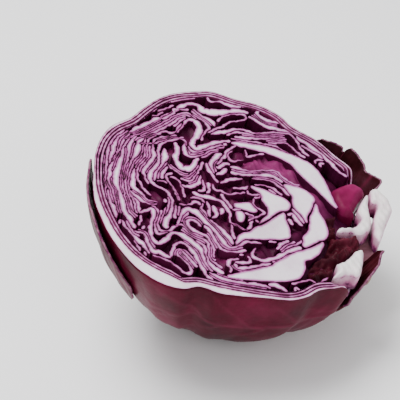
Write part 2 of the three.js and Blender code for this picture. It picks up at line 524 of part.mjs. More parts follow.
for (const layer of [1, 2]) {
  const start = layer * GAP + (layer - 1) * WRAPPER_THICKNESS;
  const leafOutside = edgeInside(SIDES, 1, start);
  const leafInside = edgeInside(SIDES, 1, start + WRAPPER_THICKNESS);
  const depth = HEAD_DEPTH - BASE_THICKNESS - start;
  addPiece(`wrapper_leaf_${layer}`,
    bowl(leafOutside, leafInside, depth, depth - WRAPPER_THICKNESS, RINGS, false).subtract(stalkHole),
    0xc9a3c6, 0.5);
}

// The packed heart: a close core under the leaves, and each leaf and midrib standing out of it.
function fullBowl(edge, depth, rings) {
  const positions = [0, 0, 0];
  const triangles = [];
  const sides = edge.length;
  for (let ring = 0; ring < rings; ring += 1) {
    for (const rim of edge) {
      const point = bowlPoint(rim, depth, ring / rings, 0);
      positions.push(point.x, point.y, point.z);
    }
  }
  const pole = positions.length / 3;
  positions.push(0, 0, -depth);
  for (let i = 0; i < sides; i += 1) {
    const a = 1 + i;
    const b = 1 + (i + 1) % sides;
    triangles.push(0, b, a);
    for (let ring = 0; ring < rings - 1; ring += 1) {
      const lift = ring * sides;
      triangles.push(a + lift, b + lift, a + lift + sides, b + lift, b + lift + sides, a + lift + sides);
    }
    const last = (rings - 1) * sides;
    triangles.push(a + last, b + last, pole);
  }
  return solidFrom(positions, triangles);
}

const heartInset = 3 * GAP + 2 * WRAPPER_THICKNESS;
const heartDepth = HEAD_DEPTH - BASE_THICKNESS - heartInset;
const heartSpace = fullBowl(edgeInside(SIDES, 1, heartInset), heartDepth, RINGS);
const core = heartSpace.subtract(solidOf(slab(PACK_FLOOR + SLAB_HEIGHT / 2)));
let leaves = null;
for (const leaf of LEAVES) {
  const blade = prism(leafOutline(leaf), PACK_FLOOR - ROOT, 0);
  leaves = leaves ? leaves.add(blade) : blade;
}
for (const midrib of MIDRIBS) leaves = leaves.add(smoothPrism(midrib, 2, PACK_FLOOR - ROOT, 0));
const heart = core.add(leaves.intersect(heartSpace)).subtract(stalkHole);
const heartBodies = heart.decompose().sort((a, b) => b.volume() - a.volume());
addPiece("packed_leaves", heartBodies[0], 0xd9bfd8, 0.5);

addPiece("stalk", stalk(0), 0xe6dfc8, 0.6);

// Leaf stalks and small leaves at the stalk end stand on the packed heart.
const PIECE_FLOOR = PACK_FLOOR + GAP;
const STUMP_ROUNDING = [[1, 0], [0.9, 1.3], [0.7, 1.9], [0.35, 2.2]];
const CUP_ROUNDING = [[1, 0], [0.93, 2.6], [0.75, 4.6], [0.5, 5.6], [0.25, 6]];
const RUFFLE_ROUNDING = [[1, 0], [0.85, 1], [0.65, 1.2], [0.45, 1.2], [0.25, 1.2]];
const towardsFront = (u, v) => (v - 10) * 0.06;
addPiece("inner_leaf_stalk", roundedPiece(INNER_LEAF_STALK, PIECE_FLOOR, -2, STUMP_ROUNDING, towardsFront),
  0xf0e9e6, 0.5);
addPiece("outer_leaf_stalk", roundedPiece(OUTER_LEAF_STALK, PIECE_FLOOR, -1.6, STUMP_ROUNDING, towardsFront),
  0xf0e9e6, 0.5);
addPiece("lower_leaf_stalk", roundedPiece(LOWER_LEAF_STALK, PIECE_FLOOR, -2.2, STUMP_ROUNDING, () => 0),
  0xf0e9e6, 0.5);
addPiece("cupped_leaf", roundedPiece(CUPPED_LEAF, PIECE_FLOOR, -7, CUP_ROUNDING, () => 0), 0x8c2450, 0.4);

// Ridges of the crumpled leaf run from the stalk towards the midribs.
function ruffles(u, v) {
  const along = u * 0.8 + v * 0.6;
  const across = v * 0.8 - u * 0.6;
  return 1.5 * Math.sin(across * 0.75 + 0.7 * Math.sin(along * 0.3)) + 0.5 * Math.sin(along * 0.9);
}
addPiece("ruffled_leaf", roundedPiece(RUFFLED_LEAF, PIECE_FLOOR, -6.5, RUFFLE_ROUNDING, ruffles),
  0x5c2438, 0.5);

addPiece("loose_outer_leaf", standingLeaf({
  crest: LOOSE_LEAF_CREST, depth: 44, thickness: LOOSE_LEAF_THICKNESS, fold: 0.5, folds: 11,
}), 0x5a1f3a, 0.45);
addPiece("torn_leaf_back", standingLeaf({
  crest: TORN_LEAF_BACK_CREST, depth: 40, thickness: TORN_LEAF_THICKNESS, fold: 0.8, folds: 9,
}), 0x3a1420, 0.5);
addPiece("torn_leaf_front", standingLeaf({
  crest: TORN_LEAF_FRONT_CREST, depth: 35, thickness: TORN_LEAF_THICKNESS, fold: 1.2, folds: 14,
}).subtract(stalkHole), 0x3a1420, 0.5);

export default half;
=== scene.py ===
# Halved red cabbage head, lying on its round side with the cut face up.
import math
import random

import bpy
import numpy as np
from mathutils import Matrix, Vector
from mathutils.kdtree import KDTree


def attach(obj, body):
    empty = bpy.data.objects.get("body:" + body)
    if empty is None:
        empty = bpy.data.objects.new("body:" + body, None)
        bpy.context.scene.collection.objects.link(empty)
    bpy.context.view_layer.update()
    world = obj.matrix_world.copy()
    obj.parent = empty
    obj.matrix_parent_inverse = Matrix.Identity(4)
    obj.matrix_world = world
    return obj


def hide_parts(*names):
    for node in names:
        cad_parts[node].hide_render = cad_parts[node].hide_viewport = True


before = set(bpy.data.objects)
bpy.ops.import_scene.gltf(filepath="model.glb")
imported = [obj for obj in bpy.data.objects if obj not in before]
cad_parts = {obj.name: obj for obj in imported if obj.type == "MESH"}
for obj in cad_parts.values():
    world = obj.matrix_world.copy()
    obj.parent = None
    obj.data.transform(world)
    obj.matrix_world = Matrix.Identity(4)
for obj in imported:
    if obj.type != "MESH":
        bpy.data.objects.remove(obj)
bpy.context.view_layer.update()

# Cut face
# The knife has gone through the head just beside its stalk and left one flat face, which leans
# towards the front and the stalk end. Places on it are in millimetres: u runs to the stalk end,
# v to the back, and w stands off the face.
MM = 0.001
FACE_CENTRE = np.array([-5.2, -5.3, 77.7])
TILT_TO_STALK = math.radians(13.76)
TILT_TO_FRONT = math.radians(7.04)
HEAD_DEPTH = 80.0
face_turn = np.array(Matrix.Rotation(TILT_TO_STALK, 3, "Y") @ Matrix.Rotation(TILT_TO_FRONT, 3, "X"))


def in_the_frame(places):
    """Places on the cut face, in millimetres, as places in the frame, in metres."""
    return (np.asarray(places, float) @ face_turn.T + FACE_CENTRE) * MM


# Camera, table and light
# A long lens looks down on the half from the front, as for a shop picture, over a plain pale
# table, with a large soft light above and a weaker one in front.
PIXELS_PER_MM = 1.84
PICTURE_PIXELS = 400
FACE_CENTRE_PIXEL = (232.6, 199.0)
CAMERA_DISTANCE = 1200.0
CAMERA_ELEVATION = math.radians(35)
SENSOR_WIDTH = 36.0
TABLE_SIZE = 6.0
STUDIO_STRENGTH = 0.8
LIT_PLACE = Vector((0.0, 0.0, 0.05))

to_right = np.array([1.0, 0.0, 0.0])
to_top = np.array([0.0, math.sin(CAMERA_ELEVATION), math.cos(CAMERA_ELEVATION)])
to_camera = np.array([0.0, -math.cos(CAMERA_ELEVATION), math.sin(CAMERA_ELEVATION)])
aside = (FACE_CENTRE_PIXEL[0] - PICTURE_PIXELS / 2) / PIXELS_PER_MM
above = (PICTURE_PIXELS / 2 - FACE_CENTRE_PIXEL[1]) / PIXELS_PER_MM
looked_at = FACE_CENTRE - aside * to_right - above * to_top
camera_data = bpy.data.cameras.new("camera")
camera_data.sensor_width = SENSOR_WIDTH
camera_data.lens = SENSOR_WIDTH * CAMERA_DISTANCE * PIXELS_PER_MM / PICTURE_PIXELS
camera_data.clip_end = 20.0  # metres, past the far edge of the table
camera = bpy.data.objects.new("camera", camera_data)
camera.location = Vector((looked_at + to_camera * CAMERA_DISTANCE) * MM)
camera.rotation_euler = (math.pi / 2 - CAMERA_ELEVATION, 0.0, 0.0)
bpy.context.collection.objects.link(camera)
bpy.context.scene.camera = camera

bpy.ops.mesh.primitive_plane_add(size=TABLE_SIZE, location=(0.0, 0.0, 0.0))
table = bpy.context.object
table.name = "table"
table_finish = bpy.data.materials.new("pale_table")
table_finish.use_nodes = True
table_shader = table_finish.node_tree.nodes["Principled BSDF"]
table_shader.inputs["Base Color"].default_value = (0.93, 0.93, 0.94, 1.0)
table_shader.inputs["Roughness"].default_value = 0.6
table.data.materials.append(table_finish)

world = bpy.data.worlds.new("studio")
world.use_nodes = True
backdrop = world.node_tree.nodes["Background"]
backdrop.inputs["Color"].default_value = (1.0, 1.0, 1.0, 1.0)
backdrop.inputs["Strength"].default_value = STUDIO_STRENGTH
bpy.context.scene.world = world


def add_soft_light(name, place, size, power):
    """A square studio light that faces the half."""
    light_data = bpy.data.lights.new(name, "AREA")
    light_data.size = size
    light_data.energy = power
    light = bpy.data.objects.new(name, light_data)
    light.location = place
    light.rotation_euler = (LIT_PLACE - light.location).to_track_quat("-Z", "Y").to_euler()
    bpy.context.collection.objects.link(light)


add_soft_light("light_above", Vector((-0.35, 0.15, 1.1)), size=0.7, power=20.0)
add_soft_light("light_in_front", Vector((0.5, -1.1, 0.7)), size=0.8, power=6.0)

# Outer leaf
# The outermost whole leaf wraps the half from the stalk to the tip. It is thick and white where
# its base was cut at the lower left, has a waxy wine red skin outside, and carries fine veins.
# The edge on the cut face, all round: u, v and the thickness there.
OUTER_EDGE = [
    (-77.4, 2, 1.4), (-77.4, 15, 1.2), (-75, 29, 1.4), (-69.5, 41, 2), (-60, 50.5, 1.6), (-53.4, 60.5, 1.3),
    (-45, 72, 1.3), (-36, 79.8, 1.6), (-25, 85, 1.6), (-14, 88.3, 1.4), (0, 86, 1.4), (14, 85, 1.5),
    (26, 79.8, 1.4), (34, 71.8, 1.4), (48, 64.3, 1.4), (59, 54, 1.6), (68, 46, 1.6), (73.5, 34, 1.8),
    (76.5, 18, 2), (77, 0, 2), (76, -16, 2), (73, -33, 2), (67.5, -47.5, 1.8), (58, -54, 1.6),
    (49, -58, 1.8), (42, -65, 2), (33, -70, 2.2), (20, -72, 2.4), (6, -74.2, 4), (-5, -75.2, 5),
    (-16, -73.2, 3.6), (-24, -77, 6), (-33, -77.2, 8.6), (-42, -73.8, 8.4), (-51, -67.5, 7.2),
    (-59, -58, 5.4), (-66, -47, 4.6), (-71, -36, 4.2), (-75.2, -24, 3.6), (-77.2, -11, 2.4),
]
BASE_THICKNESS = 5.0
LEAF_SIDES = 420
LEAF_RINGS = 64
RIM_ROWS = 8
RING_DROP = 0.08
EDGE_STEPS = 60
CURVE_STEPS = 24
DIP_FROM_V = -53.0
DIP_TO_V = 46.0
DIP_FROM_U = 62.0
DIP_BLEND = 10.0
DIP_DEPTH = 15.0
VEIN_HEIGHT = 0.8
MOST_SINK = 0.6
TUCK_SIDE = math.radians(205)
ROUND_POWER = 2.0
TUCKED_POWER = 1.3
TUCK_STARTS = 0.3
TUCK_FULL = 0.9


def smooth_step(value, low, high):
    """A share that eases from 0 at low to 1 at high."""
    share = np.clip((np.asarray(value, float) - low) / (high - low), 0, 1)
    return share * share * (3 - 2 * share)


def spline(points, closed, per_span):
    """A smooth curve through points, with the direction at each place on it."""
    knots = np.asarray(points, float)
    if not closed:
        first = 2 * knots[0] - knots[1]
        last = 2 * knots[-1] - knots[-2]
        knots = np.vstack([first, knots, last])
    spans = len(knots) if closed else len(knots) - 3
    shift = 0 if closed else 1
    weight = np.arange(per_span)[:, None] / per_span
    places = []
    directions = []
    for span in range(spans):
        before, start, end, after = (knots[(span + shift + k) % len(knots)] for k in (-1, 0, 1, 2))
        leave = 0.5 * (end - before)
        arrive = 0.5 * (after - start)
        square = -3 * start + 3 * end - 2 * leave - arrive
        cube = 2 * start - 2 * end + leave + arrive
        places.append(start + leave * weight + square * weight ** 2 + cube * weight ** 3)
        directions.append(leave + 2 * square * weight + 3 * cube * weight ** 2)
    if not closed:
        places.append(knots[-2][None])
        directions.append((knots[-2] - knots[-3])[None])
    return np.vstack(places), np.vstack(directions)


def edge_inside(count, thickness_share, distance):
    """The outer leaf's cut edge in even steps, moved in by a share of its thickness and a distance."""
    dense, ways = spline(OUTER_EDGE, True, EDGE_STEPS)
    at = np.arange(count) / count * len(dense)
    low = at.astype(int) % len(dense)
    part = (at - at.astype(int))[:, None]
    high = (low + 1) % len(dense)
    place = dense[low] * (1 - part) + dense[high] * part
    way = ways[low] * (1 - part) + ways[high] * part
    inward = np.stack([way[:, 1], -way[:, 0]], 1)
    inward /= np.linalg.norm(inward, axis=1)[:, None]
    step = place[:, 2:3] * thickness_share + distance
    return place[:, :2] + inward * step


def dip_at(rim):
    """How far the edge dips below the cut face, under the leaf stalks."""
    across = smooth_step(rim[:, 1], DIP_FROM_V, DIP_FROM_V + DIP_BLEND)
    across = across * (1 - smooth_step(rim[:, 1], DIP_TO_V - DIP_BLEND, DIP_TO_V))
    return DIP_DEPTH * across * smooth_step(rim[:, 0], DIP_FROM_U - DIP_BLEND, DIP_FROM_U)


def width_kept(turn, depth_share):
    """The share of its width that the head keeps: it is round, and drawn in more under the tip."""
    tucked = smooth_step(np.cos(turn - TUCK_SIDE), TUCK_STARTS, TUCK_FULL)
    power = ROUND_POWER - (ROUND_POWER - TUCKED_POWER) * tucked
    return np.sqrt(1 - np.clip(depth_share, 0, 1) ** power)


def bowl_skin(rim, depth, dip, rings):
    """Rows of places from the cut face down to the pole of a bowl that hangs from a rim."""
    turn = np.arctan2(rim[:, 1], rim[:, 0])
    rows = []
    for ring in range(rings):
        level = -np.maximum(depth * math.sin(ring / rings * math.pi / 2), dip + ring * RING_DROP)
        inset = width_kept(turn, -level / depth)
        rows.append(np.column_stack([rim * inset[:, None], level]))
    return rows


def band_faces(rows, count, going_down=False):
    """Four-sided faces between closed rings that hold the same count of places each."""
    faces = []
    for row in range(rows - 1):
        for side in range(count):
            here = row * count + side
            beside = row * count + (side + 1) % count
            if going_down:
                faces.append((here, here + count, beside + count, beside))
            else:
                faces.append((here, beside, beside + count, here + count))
    return faces


def new_mesh(name, places, faces, finishes, finish_of_face=None, measures=None):
    """A smooth object from face places in millimetres, with its finishes and point measures."""
    mesh = bpy.data.meshes.new(name)
    mesh.from_pydata(in_the_frame(places).tolist(), [], faces)
    for finish in finishes:
        mesh.materials.append(finish)
    if finish_of_face is not None:
        mesh.polygons.foreach_set("material_index", finish_of_face)
    for title, values in (measures or {}).items():
        mesh.attributes.new(title, "FLOAT", "POINT").data.foreach_set("value", np.asarray(values, float))
    mesh.shade_smooth()
    mesh.update()
    made = bpy.data.objects.new(name, mesh)
    bpy.context.collection.objects.link(made)
    return made


def closed_bowl(name, outer, inner, outer_depth, inner_depth, finishes, relief=None):
    """A leaf that wraps the head: outer skin, cut edge and inner skin in one closed surface."""
    dip = dip_at(outer)
    sides = len(outer)
    outside = bowl_skin(outer, outer_depth, dip, LEAF_RINGS)
    inside = bowl_skin(inner, inner_depth, dip, LEAF_RINGS)
    across = np.linspace(0, 1, RIM_ROWS + 1)[1:-1]
    rim = [outside[0] * (1 - share) + inside[0] * share for share in across]
    rows = outside[::-1] + rim + inside
    places = np.vstack(rows + [[[0, 0, -outer_depth]], [[0, 0, -inner_depth]]])
    thickness = np.linalg.norm(outer - inner, axis=1)
    rind = np.zeros(len(places))
    for index, share in enumerate(across):
        start = (LEAF_RINGS + index) * sides
        rind[start:start + sides] = thickness * min(share, 1 - share)
    vein = np.zeros(len(places))
    if relief is not None:
        skin = LEAF_RINGS * sides
        lift, vein[:skin] = relief(places[:skin])
        places[:skin] *= (1 + lift / HEAD_DEPTH)[:, None]
    faces = band_faces(len(rows), sides, going_down=True)
    skin_rows = LEAF_RINGS - 1
    cut_rows = len(rim) + 1
    finish_of_face = [0] * skin_rows * sides + [1] * cut_rows * sides + [0] * skin_rows * sides
    last = (len(rows) - 1) * sides
    for side in range(sides):
        beside = (side + 1) % sides
        faces.append((beside, len(places) - 2, side))
        faces.append((last + side, len(places) - 1, last + beside))
        finish_of_face += [0, 0]
    return new_mesh(name, places, faces, finishes, finish_of_face, {"rind": rind, "vein": vein})


class Finish:
    """A finish under construction: the material, its nodes and its shader."""

    def __init__(self, name, roughness, gleam):
        self.material = bpy.data.materials.new(name)
        self.material.use_nodes = True
        self.tree = self.material.node_tree
        self.shader = self.tree.nodes["Principled BSDF"]
        self.shader.inputs["Roughness"].default_value = roughness
        self.shader.inputs["Specular IOR Level"].default_value = gleam

    def node(self, kind, settings=None, **inputs):
        """A new node with its settings, and with values or other nodes' outputs fed in."""
        made = self.tree.nodes.new(kind)
        for key, value in (settings or {}).items():
            setattr(made, key, value)
        for key, value in inputs.items():
            self.feed(made.inputs[key.replace("_", " ")], value)
        return made

    def feed(self, socket, value):
        """A value, or the output of another node, given to a socket."""
        if isinstance(value, bpy.types.NodeSocket):
            self.tree.links.new(value, socket)
        else:
            socket.default_value = value

    def measure(self, title):
        """A measure that the mesh carries at each point."""
        return self.node("ShaderNodeAttribute", {"attribute_name": title}).outputs["Fac"]

    def noise(self, scale, detail=4.0, roughness=0.55, stretch=(1, 1, 1)):
        """Uneven values from 0 to 1 in the space of the piece."""
        place = self.node("ShaderNodeTexCoord").outputs["Object"]
        mapping = self.node("ShaderNodeMapping", Vector=place, Scale=stretch)
        return self.node("ShaderNodeTexNoise", Vector=mapping.outputs[0], Scale=scale, Detail=detail,
                         Roughness=roughness).outputs["Fac"]

    def ramp(self, value, stops):
        """A colour that changes with a value, through the colours at its stops."""
        made = self.node("ShaderNodeValToRGB", Fac=value)
        steps = made.color_ramp.elements
        while len(steps) < len(stops):
            steps.new(0.5)
        for step, (place, colour) in zip(steps, stops):
            step.position = place
            step.color = (*colour, 1.0)
        return made.outputs["Color"]

    def span(self, value, from_low, from_high, low=0.0, high=1.0):
        """A value moved from one span of numbers to another, and held inside it."""
        made = self.node("ShaderNodeMapRange", Value=value, From_Min=from_low, From_Max=from_high,
                         To_Min=low, To_Max=high)
        return made.outputs["Result"]

    def mix(self, share, one, other, way="MIX"):
        """One colour mixed with another by a share, or multiplied by it."""
        made = self.tree.nodes.new("ShaderNodeMix")
        made.data_type = "RGBA"
        made.blend_type = way
        self.feed(made.inputs[0], share)
        self.feed(made.inputs[6], one)
        self.feed(made.inputs[7], other)
        return made.outputs[2]

    def sum(self, one, other, way="ADD"):
        """Two values put together: added, multiplied or the larger of them."""
        made = self.node("ShaderNodeMath", {"operation": way})
        self.feed(made.inputs[0], one)
        self.feed(made.inputs[1], other)
        return made.outputs[0]

    def raised(self, height, strength, distance):
        """The fine grain of the surface, too small for the mesh."""
        bump = self.node("ShaderNodeBump", Height=height, Strength=strength, Distance=distance)
        self.feed(self.shader.inputs["Normal"], bump.outputs["Normal"])


def cut_flesh(name, pale, middle, rosy):
    """Wet cut leaf: a dark skin line, a rosy band under it, and pale flesh in the middle."""
    finish = Finish(name, 0.38, 0.3)
    uneven = finish.span(finish.noise(260.0), 0.35, 0.65, -0.10, 0.10)
    rind = finish.sum(finish.span(finish.measure("rind"), 0.0, 2.0), uneven)
    depth = finish.sum(rind, 0.0, "MAXIMUM")
    skin_line = [(0.0, (0.040, 0.002, 0.020)), (0.09, (0.11, 0.007, 0.065))]
    colour = finish.ramp(depth, skin_line + [(0.20, rosy), (0.46, middle), (0.95, pale)])
    blush = finish.span(finish.noise(45.0, 3.0), 0.45, 0.75, 0.0, 0.35)
    finish.feed(finish.shader.inputs["Base Color"], finish.mix(blush, colour, (*rosy, 1.0), "MULTIPLY"))
    finish.shader.inputs["Subsurface Weight"].default_value = 0.12
    finish.shader.inputs["Subsurface Radius"].default_value = (0.004, 0.0015, 0.003)
    finish.raised(finish.noise(900.0, 3.0), 0.25, 0.0004)
    return finish.material


# Paler colour of the veins; on the standing leaves the same mix also paints highlights along their folds.
VEIN_COLOUR = (0.13, 0.012, 0.036, 1.0)
# Brighter magenta for the heart's floor where flat leaves lie near the cut face: partly their skin colour,
# partly painted light.
LIT_MAGENTA_COLOUR = (0.20, 0.022, 0.105, 1.0)
BLOOM_COLOUR = (0.20, 0.085, 0.135, 1.0)


def leaf_skin(name, shade, body, tint, bloom_share):
    """Waxy leaf skin: mottled wine red, paler along the veins and along painted highlight streaks, with a
    dusty grey lilac bloom, and mixed with a brighter magenta that is partly painted light.
    """
    finish = Finish(name, 0.40, 0.06)
    mottle = finish.span(finish.noise(28.0, 6.0, 0.6), 0.3, 0.7)
    colour = finish.ramp(mottle, [(0.0, shade), (0.5, body), (1.0, tint)])
    vein = finish.span(finish.measure("vein"), 0.0, 1.0, 0.0, 0.7)
    veined = finish.mix(finish.measure("glow"), finish.mix(vein, colour, VEIN_COLOUR), LIT_MAGENTA_COLOUR)
    patches = finish.span(finish.noise(14.0, 5.0, 0.6, (1.0, 2.2, 2.2)), 0.48, 0.72)
    dust = finish.span(finish.noise(420.0, 4.0, 0.7), 0.35, 0.7, 0.3, 1.0)
    bloom = finish.sum(finish.sum(patches, dust, "MULTIPLY"), bloom_share, "MULTIPLY")
    finish.feed(finish.shader.inputs["Base Color"], finish.mix(bloom, veined, BLOOM_COLOUR))
    finish.raised(finish.noise(160.0, 6.0, 0.6), 0.35, 0.0006)
    return finish.material


MAIN_VEINS = 9
SIDE_VEINS = 11
VEIN_STEP = 0.012
VEIN_CENTRE = np.array([0.0, 0.0, -20.0])


def leaf_veins():
    """Main veins that fan out from the stalk over the outer leaf, and their side veins."""
    draw = random.Random(11)
    found = []

    def trace(turn, start, end, drift, width):
        """One vein, by its angle from the stalk's line, the turn round that line, and its width."""
        steps = max(int(abs(end - start) / VEIN_STEP), 2)
        for step in range(steps + 1):
            share = step / steps
            out = start + (end - start) * share
            around = turn + drift * share ** 0.8 + 0.02 * math.sin(out * 9 + turn * 5)
            found.append((out, around, width * (1 - 0.75 * share)))

    for main in range(MAIN_VEINS):
        turn = -math.pi + main * 2 * math.pi / MAIN_VEINS + draw.uniform(-0.12, 0.12)
        trace(turn, 0.18, 2.6, 0.0, 1.5)
        for branch in range(SIDE_VEINS):
            leaves_at = 0.4 + branch * 0.19 + draw.uniform(-0.05, 0.05)
            side = 1 if branch % 2 else -1
            length = draw.uniform(0.35, 0.6)
            trace(turn, leaves_at, leaves_at + length, side * draw.uniform(0.25, 0.4), 0.8)
    return found


vein_lines = leaf_veins()
vein_tree = KDTree(len(vein_lines))
for index, (out, around, size) in enumerate(vein_lines):
    direction = Vector((math.cos(out), math.sin(out) * math.sin(around), math.sin(out) * math.cos(around)))
    vein_tree.insert(direction, index)
vein_tree.balance()


def vein_relief(places):
    """How high the veins stand at places on the outer skin, and how strongly they show."""
    lift = np.zeros(len(places))
    show = np.zeros(len(places))
    for index, place in enumerate(places):
        direction = place - VEIN_CENTRE
        _, nearest, distance = vein_tree.find(direction / np.linalg.norm(direction))
        size = vein_lines[nearest][2]
        ridge = math.exp(-(distance * HEAD_DEPTH / (size + 0.35)) ** 2)
        show[index] = ridge * min(size, 1.0)
        lift[index] = VEIN_HEIGHT * ridge * size * 0.6 * min(-place[2] / 8, 1)
    turn = np.arctan2(places[:, 1], places[:, 0])
    u, v, w = places.T
    swell = 0.5 * np.sin(u * 0.11 + 1) * np.sin(v * 0.13) + 0.25 * np.sin(v * 0.31)
    swell += 0.4 * np.sin(turn * 23 + 1.5 * np.sin(turn * 3) + w * 0.03)
    return np.maximum(lift + swell * np.clip(-w / 20, 0, 1) - 0.4, -MOST_SINK), show


outer_cut = cut_flesh("outer_leaf_cut", (0.80, 0.74, 0.80), (0.72, 0.58, 0.70), (0.42, 0.10, 0.28))
wine_skin = leaf_skin("wine_leaf_skin", (0.018, 0.001, 0.004), (0.060, 0.0015, 0.011),
                      (0.115, 0.004, 0.026), 0.11)
outer_rim = edge_inside(LEAF_SIDES, 0, 0)
outer_rim_inside = edge_inside(LEAF_SIDES, 1, 0)
outer_leaf = closed_bowl("outer_leaf_skin_and_rim", outer_rim, outer_rim_inside, HEAD_DEPTH,
                         HEAD_DEPTH - BASE_THICKNESS, [wine_skin, outer_cut], relief=vein_relief)
for vertex in outer_leaf.data.vertices:
    vertex.co.z = max(vertex.co.z, 0.0)
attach(outer_leaf, "root")
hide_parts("outer_leaf")

# Wrapper leaves
# Two more whole leaves lie close inside the outer one and follow it all round. Only their cut
# edges show, thin and lilac between dark skins.
WRAPPER_THICKNESS = 1.5
GAP = 0.35
inner_skin = leaf_skin("inner_leaf_skin", (0.05, 0.004, 0.022), (0.11, 0.009, 0.05), (0.20, 0.02, 0.10), 0.1)
thin_cut = cut_flesh("thin_leaf_cut", (0.78, 0.70, 0.80), (0.62, 0.38, 0.58), (0.34, 0.08, 0.24))
for layer in (1, 2):
    start = layer * GAP + (layer - 1) * WRAPPER_THICKNESS
    around = np.linspace(0, 2 * math.pi, LEAF_SIDES, endpoint=False)
    thins = 0.35 * np.sin(around * 7 + layer) ** 2 + 0.2 * np.sin(around * 19 + 2 * layer) ** 2
    inside = edge_inside(LEAF_SIDES, 1, start + WRAPPER_THICKNESS)
    outside = edge_inside(LEAF_SIDES, 1, start)
    inside = inside + (outside - inside) * thins[:, None] * 0.6
    depth = HEAD_DEPTH - BASE_THICKNESS - start
    wrapper = closed_bowl(f"wrapper_{layer}", outside, inside, depth, depth - WRAPPER_THICKNESS,
                          [inner_skin, thin_cut])
    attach(wrapper, "root")
    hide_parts(f"wrapper_leaf_{layer}")


# Packed leaves
# Crumpled leaves fill the heart. Each was sliced by the knife, so it shows a pale edge between two
# dark skins, and runs on downwards. Where ribs were cut along, they show as broad white shapes.
PACK_FLOOR = -12.0
